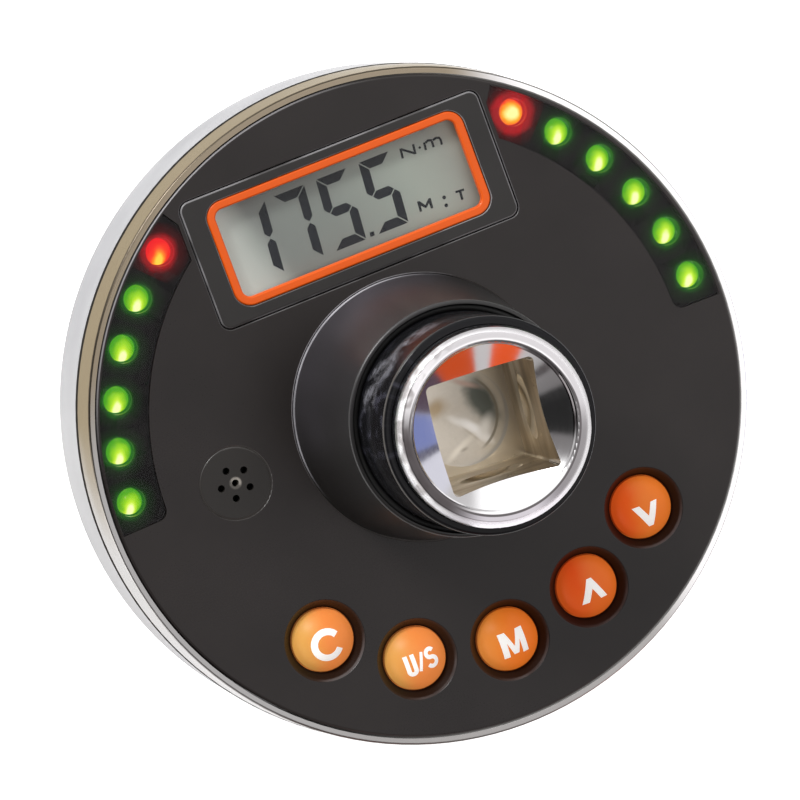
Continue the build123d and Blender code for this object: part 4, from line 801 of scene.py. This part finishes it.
film = moulded("foil_polymer", (0.50, 0.22, 0.03), 0.28, grain=0.3, mottle=0.12).material
red_light = light_material(
    "red_light", (1.25, 0.010, 0.012), (1.50, 0.09, 0.006), (2.2, 0.85, 0.015), (2.6, 1.85, 0.14)
)
green_light = light_material(
    "green_light", (0.13, 0.62, 0.010), (0.70, 1.35, 0.008), (1.75, 2.1, 0.10), (2.6, 2.7, 1.30)
)

finishes = {
    "drive_spindle": spindle_material(),
    "detent_ball": nickel,
    "detent_spring": wire,
    "hub_collar": collar,
    "hub_bush": bush,
    "hub_sleeve": sleeve,
    "collar_seal": rubber,
    "collar_screws": steel,
    "front_cover": face,
    "bezel_ring": bezel,
    "case_gasket": rubber,
    "case_band": band,
    "rear_cover": black,
    "rear_seal": rubber,
    "case_screws": steel,
    "circuit_board": board,
    "display_surround": surround,
    "display_frame": orange,
    "display_window": window_material(),
    "lcd_panel": lcd_material(),
    "lcd_holder": white,
    "contact_strips": carbon,
    "indicator_window_left": smoked_material(),
    "red_lights": red_light,
    "green_lights": green_light,
    "buzzer_grille": grille,
    "buzzer": chip,
    "button_switches": chip,
    "coin_cells": nickel,
    "cell_springs": brass,
    "cell_clips": brass,
    "strain_gauges": film,
    "gauge_lead": film,
    "lead_connector": white,
    "processor_chip": chip,
    "gauge_amplifier": chip,
    "motion_sensor": chip,
    "crystal": nickel,
}
finishes["indicator_window_right"] = finishes["indicator_window_left"]
button_finish = button_material()
for side in ("left", "right"):
    finishes[f"battery_cap_{side}"] = black
    finishes[f"battery_seal_{side}"] = rubber
for key in KEYS:
    finishes[f"button_{key}"] = button_finish
    finishes[f"plunger_{key}"] = chip
for name, material in finishes.items():
    mesh = nodes[name].data
    mesh.materials.clear()
    mesh.materials.append(material)
missing = sorted(set(nodes) - set(finishes))
if missing:
    raise SystemExit(f"no finish for {missing}")


# Printed marks
def band_outline(points, width):
    """Outline in millimetres of a stroke of one width along a line of points."""
    left, right = [], []
    for index, here in enumerate(points):
        before = points[max(index - 1, 0)]
        after = points[min(index + 1, len(points) - 1)]
        along = (Vector(after) - Vector(before)).normalized()
        normal = Vector((-along.y, along.x))
        inner = (Vector(here) - Vector(before)).normalized() if index > 0 else along
        reach = width / 2 / max(0.35, inner.dot(along))
        left.append(tuple(Vector(here) + normal * reach))
        right.append(tuple(Vector(here) - normal * reach))
    return left + right[::-1]


def arc(centre, radius, start, end, steps=24):
    """Points on an arc, its angles in degrees from +X."""
    return [
        (
            centre[0] + radius * cos(radians(start + (end - start) * step / steps)),
            centre[1] + radius * sin(radians(start + (end - start) * step / steps)),
        )
        for step in range(steps + 1)
    ]


def cut_in_grid(shape, grid):
    """Cuts a flat shape along a grid of this pitch, so that it can follow a domed surface."""
    reach = [max(abs(v.co[axis]) for v in shape.verts) for axis in (0, 1)]
    for axis in (0, 1):
        for step in range(int(-reach[axis] / grid), int(reach[axis] / grid) + 1):
            spot, normal = Vector(), Vector()
            spot[axis], normal[axis] = step * grid, 1.0
            geometry = shape.verts[:] + shape.edges[:] + shape.faces[:]
            bmesh.ops.bisect_plane(shape, geom=geometry, plane_co=spot, plane_no=normal)


def marks(name, outlines, surface, material, slot, lift, grid=None, body="head"):
    """Thin printed shapes laid on a surface: outlines in millimetres, surface(x, y) the height under them."""
    shape = bmesh.new()
    for outline in outlines:
        shape.faces.new([shape.verts.new((x, y, 0.0)) for x, y in outline])
    shape.normal_update()
    bmesh.ops.triangulate(shape, faces=shape.faces[:])
    if grid:
        cut_in_grid(shape, grid)
    bmesh.ops.recalc_face_normals(shape, faces=shape.faces[:])
    for face in shape.faces:
        if face.normal.z < 0:
            face.normal_flip()
    top = shape.faces[:]
    grown = bmesh.ops.extrude_face_region(shape, geom=top)
    raised = {v for v in grown["geom"] if isinstance(v, bmesh.types.BMVert)}
    for vertex in shape.verts:
        vertex.co.z = surface(vertex.co.x, vertex.co.y) + (lift if vertex in raised else -lift)
    for vertex in shape.verts:
        vertex.co *= MM
    bmesh.ops.recalc_face_normals(shape, faces=shape.faces[:])
    mesh = bpy.data.meshes.new(name)
    shape.to_mesh(mesh)
    shape.free()
    mesh.materials.append(material)
    piece = bpy.data.objects.new(name, mesh)
    scene.collection.objects.link(piece)
    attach(piece, body)
    return piece


# Liquid-crystal segments: four slanted digits, the unit and the mode marks; sizes in millimetres
ink = moulded(
    "lcd_ink", (0.013, 0.014, 0.020), 0.45, grain=0.1, depth=0.001, mottle=0.25, specular=0.15
).material
DIGIT_TOP, DIGIT_FOOT, DIGIT_WIDTH, STROKE, SLANT, GAP = 31.0, 21.85, 4.16, 1.14, 0.082, 0.10
SEGMENTS = {"1": "bc", "7": "abc", "5": "afgcd"}
DIGITS = ((-13.45, "1"), (-8.1, "7"), (-2.35, "5"), (3.42, "5"))
INK_LIFT = 0.012


def slanted(points):
    """Leans points in millimetres as the digits lean, about the digits' top."""
    return [(x + SLANT * (y - DIGIT_TOP), y) for x, y in points]


def segment(kind, left):
    """One segment of a digit, its ends mitred against its neighbours."""
    right, top, foot = left + DIGIT_WIDTH, DIGIT_TOP, DIGIT_FOOT
    middle, half = (top + foot) / 2, STROKE / 2
    inner_left, inner_right = left + STROKE, right - STROKE
    shapes = {
        "a": [
            (left + GAP, top),
            (right - GAP, top),
            (inner_right - GAP, top - STROKE),
            (inner_left + GAP, top - STROKE),
        ],
        "d": [
            (left + GAP, foot),
            (inner_left + GAP, foot + STROKE),
            (inner_right - GAP, foot + STROKE),
            (right - GAP, foot),
        ],
        "g": [
            (left + half + GAP, middle),
            (inner_left + GAP, middle + half),
            (inner_right - GAP, middle + half),
            (right - half - GAP, middle),
            (inner_right - GAP, middle - half),
            (inner_left + GAP, middle - half),
        ],
        "b": [
            (right, top - GAP),
            (inner_right, top - STROKE - GAP),
            (inner_right, middle + half + GAP),
            (right - half, middle + GAP),
            (right, middle + half + GAP),
        ],
        "c": [
            (right, foot + GAP),
            (right, middle - half - GAP),
            (right - half, middle - GAP),
            (inner_right, middle - half - GAP),
            (inner_right, foot + STROKE + GAP),
        ],
        "f": [
            (left, top - GAP),
            (left, middle + half + GAP),
            (left + half, middle + GAP),
            (inner_left, middle + half + GAP),
            (inner_left, top - STROKE - GAP),
        ],
    }
    return slanted(shapes[kind])


def on_glass(x, y):
    """Height of the display's flat glass, the same at every place."""
    return LCD_TOP


digits = [segment(kind, left) for left, digit in DIGITS for kind in SEGMENTS[digit]]
digits.append([(1.66, 21.9), (2.24, 21.9), (2.29, 22.45), (1.71, 22.45)])
marks("lcd_digits", digits, on_glass, ink, "display_glass", INK_LIFT)

# Small marks, drawn with thin strokes: the unit N m at the top right and the mode below it
thin = 0.29
unit = [
    band_outline([(8.93, 29.5), (9.08, 30.75)], thin),
    band_outline([(9.14, 30.62), (10.56, 29.56)], thin),
    band_outline([(10.62, 29.42), (10.77, 30.68)], thin),
    arc((11.42, 29.98), 0.16, 0, 330, 11),
    band_outline([(12.05, 29.4), (12.16, 30.38)], thin),
    band_outline([(12.3, 30.26), (12.7, 30.42), (13.1, 30.32), (13.14, 30.0), (13.1, 29.38)], thin),
    band_outline([(13.3, 30.22), (13.75, 30.36), (14.18, 30.22), (14.26, 29.9), (14.2, 29.3)], thin),
]
mode = [
    [
        (8.62, 22.5), (8.92, 22.5), (9.0, 23.2), (9.44, 22.72), (9.66, 22.72), (10.08, 23.14), (10.1, 22.38),
        (10.4, 22.36), (10.52, 23.64), (10.2, 23.68), (9.58, 23.06), (9.04, 23.8), (8.72, 23.84),
    ],
    arc((12.15, 23.08), 0.24, 0, 330, 11),
    arc((12.06, 22.06), 0.24, 0, 330, 11),
    [
        (13.76, 23.3), (13.74, 23.02), (14.16, 22.99), (14.08, 21.98),
        (14.4, 21.96), (14.48, 22.97), (14.86, 22.94), (14.9, 23.22),
    ],
]
marks("lcd_marks", unit + mode, on_glass, ink, "display_glass", INK_LIFT)

# Key legends, printed in white on the domed caps
legend_print = moulded("legend_white", (0.80, 0.79, 0.76), 0.45, grain=0.12, depth=0.002, mottle=0.03)
# The legends get a painted glow
legend_white = painted_glow(legend_print, 0.35)
CAP_RADIUS, CAP_SAG = 3.95, 1.2
DOME_RADIUS = (CAP_RADIUS**2 + (CROWN + CAP_SAG) ** 2) / (2 * (CROWN + CAP_SAG))
LEGEND_LIFT, LEGEND_GRID = 0.02, 0.3


def on_dome(x, y):
    """Height of a cap's dome at a place measured from the cap's axis."""
    return FACE + CROWN - DOME_RADIUS + sqrt(DOME_RADIUS**2 - x**2 - y**2)


def legend_shapes(key):
    """Outlines of a key's legend, in millimetres from the cap's axis."""
    if key == "clear":
        return [band_outline(arc((0.03, -0.45), 1.65, 30, 326, 40), 0.84)]
    if key == "units":
        letter_s = arc((1.60, 0.28), 0.52, 25, 250, 14) + arc((1.60, -0.84), 0.60, 70, -155, 16)
        return [
            band_outline([(-1.58, 1.0)] + arc((-1.14, -1.05), 0.44, 180, 360, 14) + [(-0.70, 1.0)], 0.54),
            band_outline([(-0.20, -1.45), (0.58, 0.85)], 0.38),
            band_outline(letter_s, 0.52),
        ]
    if key == "mode":
        return [
            [
                (-1.50, -1.95), (-0.72, -1.95), (-0.72, -0.05), (-0.16, -1.75), (0.50, -1.75),
                (1.06, -0.05), (1.06, -1.95), (1.84, -1.95), (1.84, 1.3), (0.92, 1.3),
                (0.17, -0.75), (-0.58, 1.3), (-1.50, 1.3),
            ]
        ]
    up = [
        (-1.66, -1.75), (-0.70, -1.75), (0.12, -0.15), (0.88, -1.75), (1.80, -1.75),
        (0.44, 1.2), (-0.20, 1.2),
    ]
    if key == "up":
        return [up]
    return [[(x, -1.2 - y) for x, y in up[::-1]]]


for key in KEYS:
    legend = marks(
        f"legend_{key}",
        legend_shapes(key),
        on_dome,
        legend_white,
        "orange_button",
        LEGEND_LIFT,
        grid=LEGEND_GRID,
        body=f"button_{key}",
    )
    # A key's plunger stands on the axis of its cap
    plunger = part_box(f"plunger_{key}")
    x, y = [(plunger[0][axis] + plunger[1][axis]) / 2 for axis in (0, 1)]
    legend.data.transform(Matrix.Translation((x, y, 0.0)))


# Floor, light and camera
def floor_material():
    """Pale, slightly uneven floor, lit from within so that it stays near white in the soft light."""
    s = Shader("pale_floor")
    tone = s.noise(6.0, detail=2.0)
    s.set(
        Base_Color=s.blend(tone, (0.86, 0.86, 0.86), (0.89, 0.89, 0.89)),
        Roughness=0.6,
        Emission_Color=(1.0, 1.0, 1.0, 1.0),
        Emission_Strength=0.8,
    )
    return s.material


FLOOR_HALF = 2.5
ground = bmesh.new()
bmesh.ops.create_grid(ground, x_segments=1, y_segments=1, size=FLOOR_HALF)
floor_mesh = bpy.data.meshes.new("floor")
ground.to_mesh(floor_mesh)
ground.free()
floor_mesh.materials.append(floor_material())
floor = bpy.data.objects.new("floor", floor_mesh)
scene.collection.objects.link(floor)

# The camera as fitted to the photograph: its axes, its place in metres and its lens
RIGHT = Vector((0.9067, -0.3438, 0.2442))
UP = Vector((0.3697, 0.9267, -0.0681))
BACK = Vector((-0.2029, 0.1520, 0.9673))
EYE = Vector((-0.12406, 0.09304, 0.6176))
LENS, SENSOR = 217.97, 36.0

camera_data = bpy.data.cameras.new("camera")
camera_data.lens = LENS
camera_data.sensor_width = SENSOR
camera_data.clip_start = 0.01
camera_data.clip_end = 20.0
camera = bpy.data.objects.new("camera", camera_data)
turned_view = [[RIGHT[axis], UP[axis], BACK[axis], EYE[axis]] for axis in range(3)]
camera.matrix_world = Matrix(turned_view + [[0.0, 0.0, 0.0, 1.0]])
scene.collection.objects.link(camera)
scene.camera = camera


def softbox(name, place, target, size, power):
    """Area light in metres and watts, aimed at a target."""
    light = bpy.data.lights.new(name, "AREA")
    light.shape = "RECTANGLE"
    light.size, light.size_y = size
    light.energy = power
    lamp = bpy.data.objects.new(name, light)
    lamp.location = place
    lamp.rotation_mode = "QUATERNION"
    lamp.rotation_quaternion = (Vector(target) - Vector(place)).to_track_quat("-Z", "Y")
    scene.collection.objects.link(lamp)


softbox("key", (-0.36, 0.72, 0.52), (0.0, 0.0, 0.04), (0.26, 0.18), 7.0)
softbox("side", (-0.75, -0.15, 0.16), (0.0, 0.0, 0.03), (0.5, 0.25), 1.0)

world = bpy.data.worlds.new("studio")
world.use_nodes = True
scene.world = world
sky = world.node_tree
sky.nodes.clear()


def sky_node(kind, **settings):
    node = sky.nodes.new(kind)
    for key, value in settings.items():
        setattr(node, key, value)
    return node


direction = sky_node("ShaderNodeTexCoord").outputs["Generated"]
background = sky_node("ShaderNodeBackground")


def patch(below, towards, spread_in, spread_out, tint):
    """Lays a soft-edged card of one colour over the surroundings, towards a direction."""
    dot = sky_node("ShaderNodeVectorMath", operation="DOT_PRODUCT")
    sky.links.new(direction, dot.inputs[0])
    dot.inputs[1].default_value = Vector(towards).normalized()
    fade = sky_node("ShaderNodeMapRange", interpolation_type="SMOOTHSTEP")
    sky.links.new(dot.outputs["Value"], fade.inputs["Value"])
    fade.inputs["From Min"].default_value = cos(radians(spread_out))
    fade.inputs["From Max"].default_value = cos(radians(spread_in))
    mix = sky_node("ShaderNodeMix", data_type="RGBA")
    sky.links.new(fade.outputs["Result"], mix.inputs[0])
    sky.links.new(below, mix.inputs[6])
    mix.inputs[7].default_value = (*tint, 1.0)
    return mix.outputs[2]


# The surroundings fall from bright on the right to dim on the left
across = sky_node("ShaderNodeVectorMath", operation="DOT_PRODUCT")
sky.links.new(direction, across.inputs[0])
across.inputs[1].default_value = (0.95, 0.30, 0.0)
fall = sky_node("ShaderNodeMapRange")
sky.links.new(across.outputs["Value"], fall.inputs["Value"])
for name, number in (("From Min", -0.15), ("From Max", 0.20), ("To Min", 0.0), ("To Max", 1.0)):
    fall.inputs[name].default_value = number
ceiling = sky_node("ShaderNodeMix", data_type="RGBA")
sky.links.new(fall.outputs["Result"], ceiling.inputs[0])
ceiling.inputs[6].default_value = (0.20, 0.19, 0.19, 1.0)
ceiling.inputs[7].default_value = (1.30, 1.27, 1.28, 1.0)

# Cards round the object, as its polished socket mirrors them: towards, sharp radius, soft radius, tint
tent = patch(ceiling.outputs[2], (0.10, -0.10, -1.0), 112, 125, (0.60, 0.59, 0.59))
cards = (
    ((0.12, 0.81, 0.57), 30, 44, (1.25, 1.25, 1.25)),
    ((0.97, 0.05, 0.25), 10, 16, (0.72, 0.72, 0.80)),
    ((0.68, -0.70, 0.20), 11, 15, (0.09, 0.060, 0.085)),
    ((0.35, -0.91, 0.22), 11, 14, (0.62, 0.075, 0.012)),
    ((-0.21, -0.90, 0.37), 8.5, 11, (0.85, 0.10, 0.018)),
    ((-0.62, -0.59, 0.52), 2.5, 4.5, (0.05, 0.04, 0.04)),
    ((-0.78, 0.0, 0.62), 17, 21, (0.018, 0.018, 0.018)),
    ((0.91, -0.37, 0.18), 9, 12, (0.20, 0.24, 0.50)),
    ((0.965, -0.165, 0.205), 2, 4, (0.06, 0.055, 0.10)),
)
for towards, sharp, soft, tint in cards:
    tent = patch(tent, towards, sharp, soft, tint)
sky.links.new(tent, background.inputs["Color"])
background.inputs["Strength"].default_value = 1.0
sky_out = sky_node("ShaderNodeOutputWorld")
sky.links.new(background.outputs[0], sky_out.inputs["Surface"])

scene.view_settings.view_transform = "Standard"
scene.view_settings.look = "None"
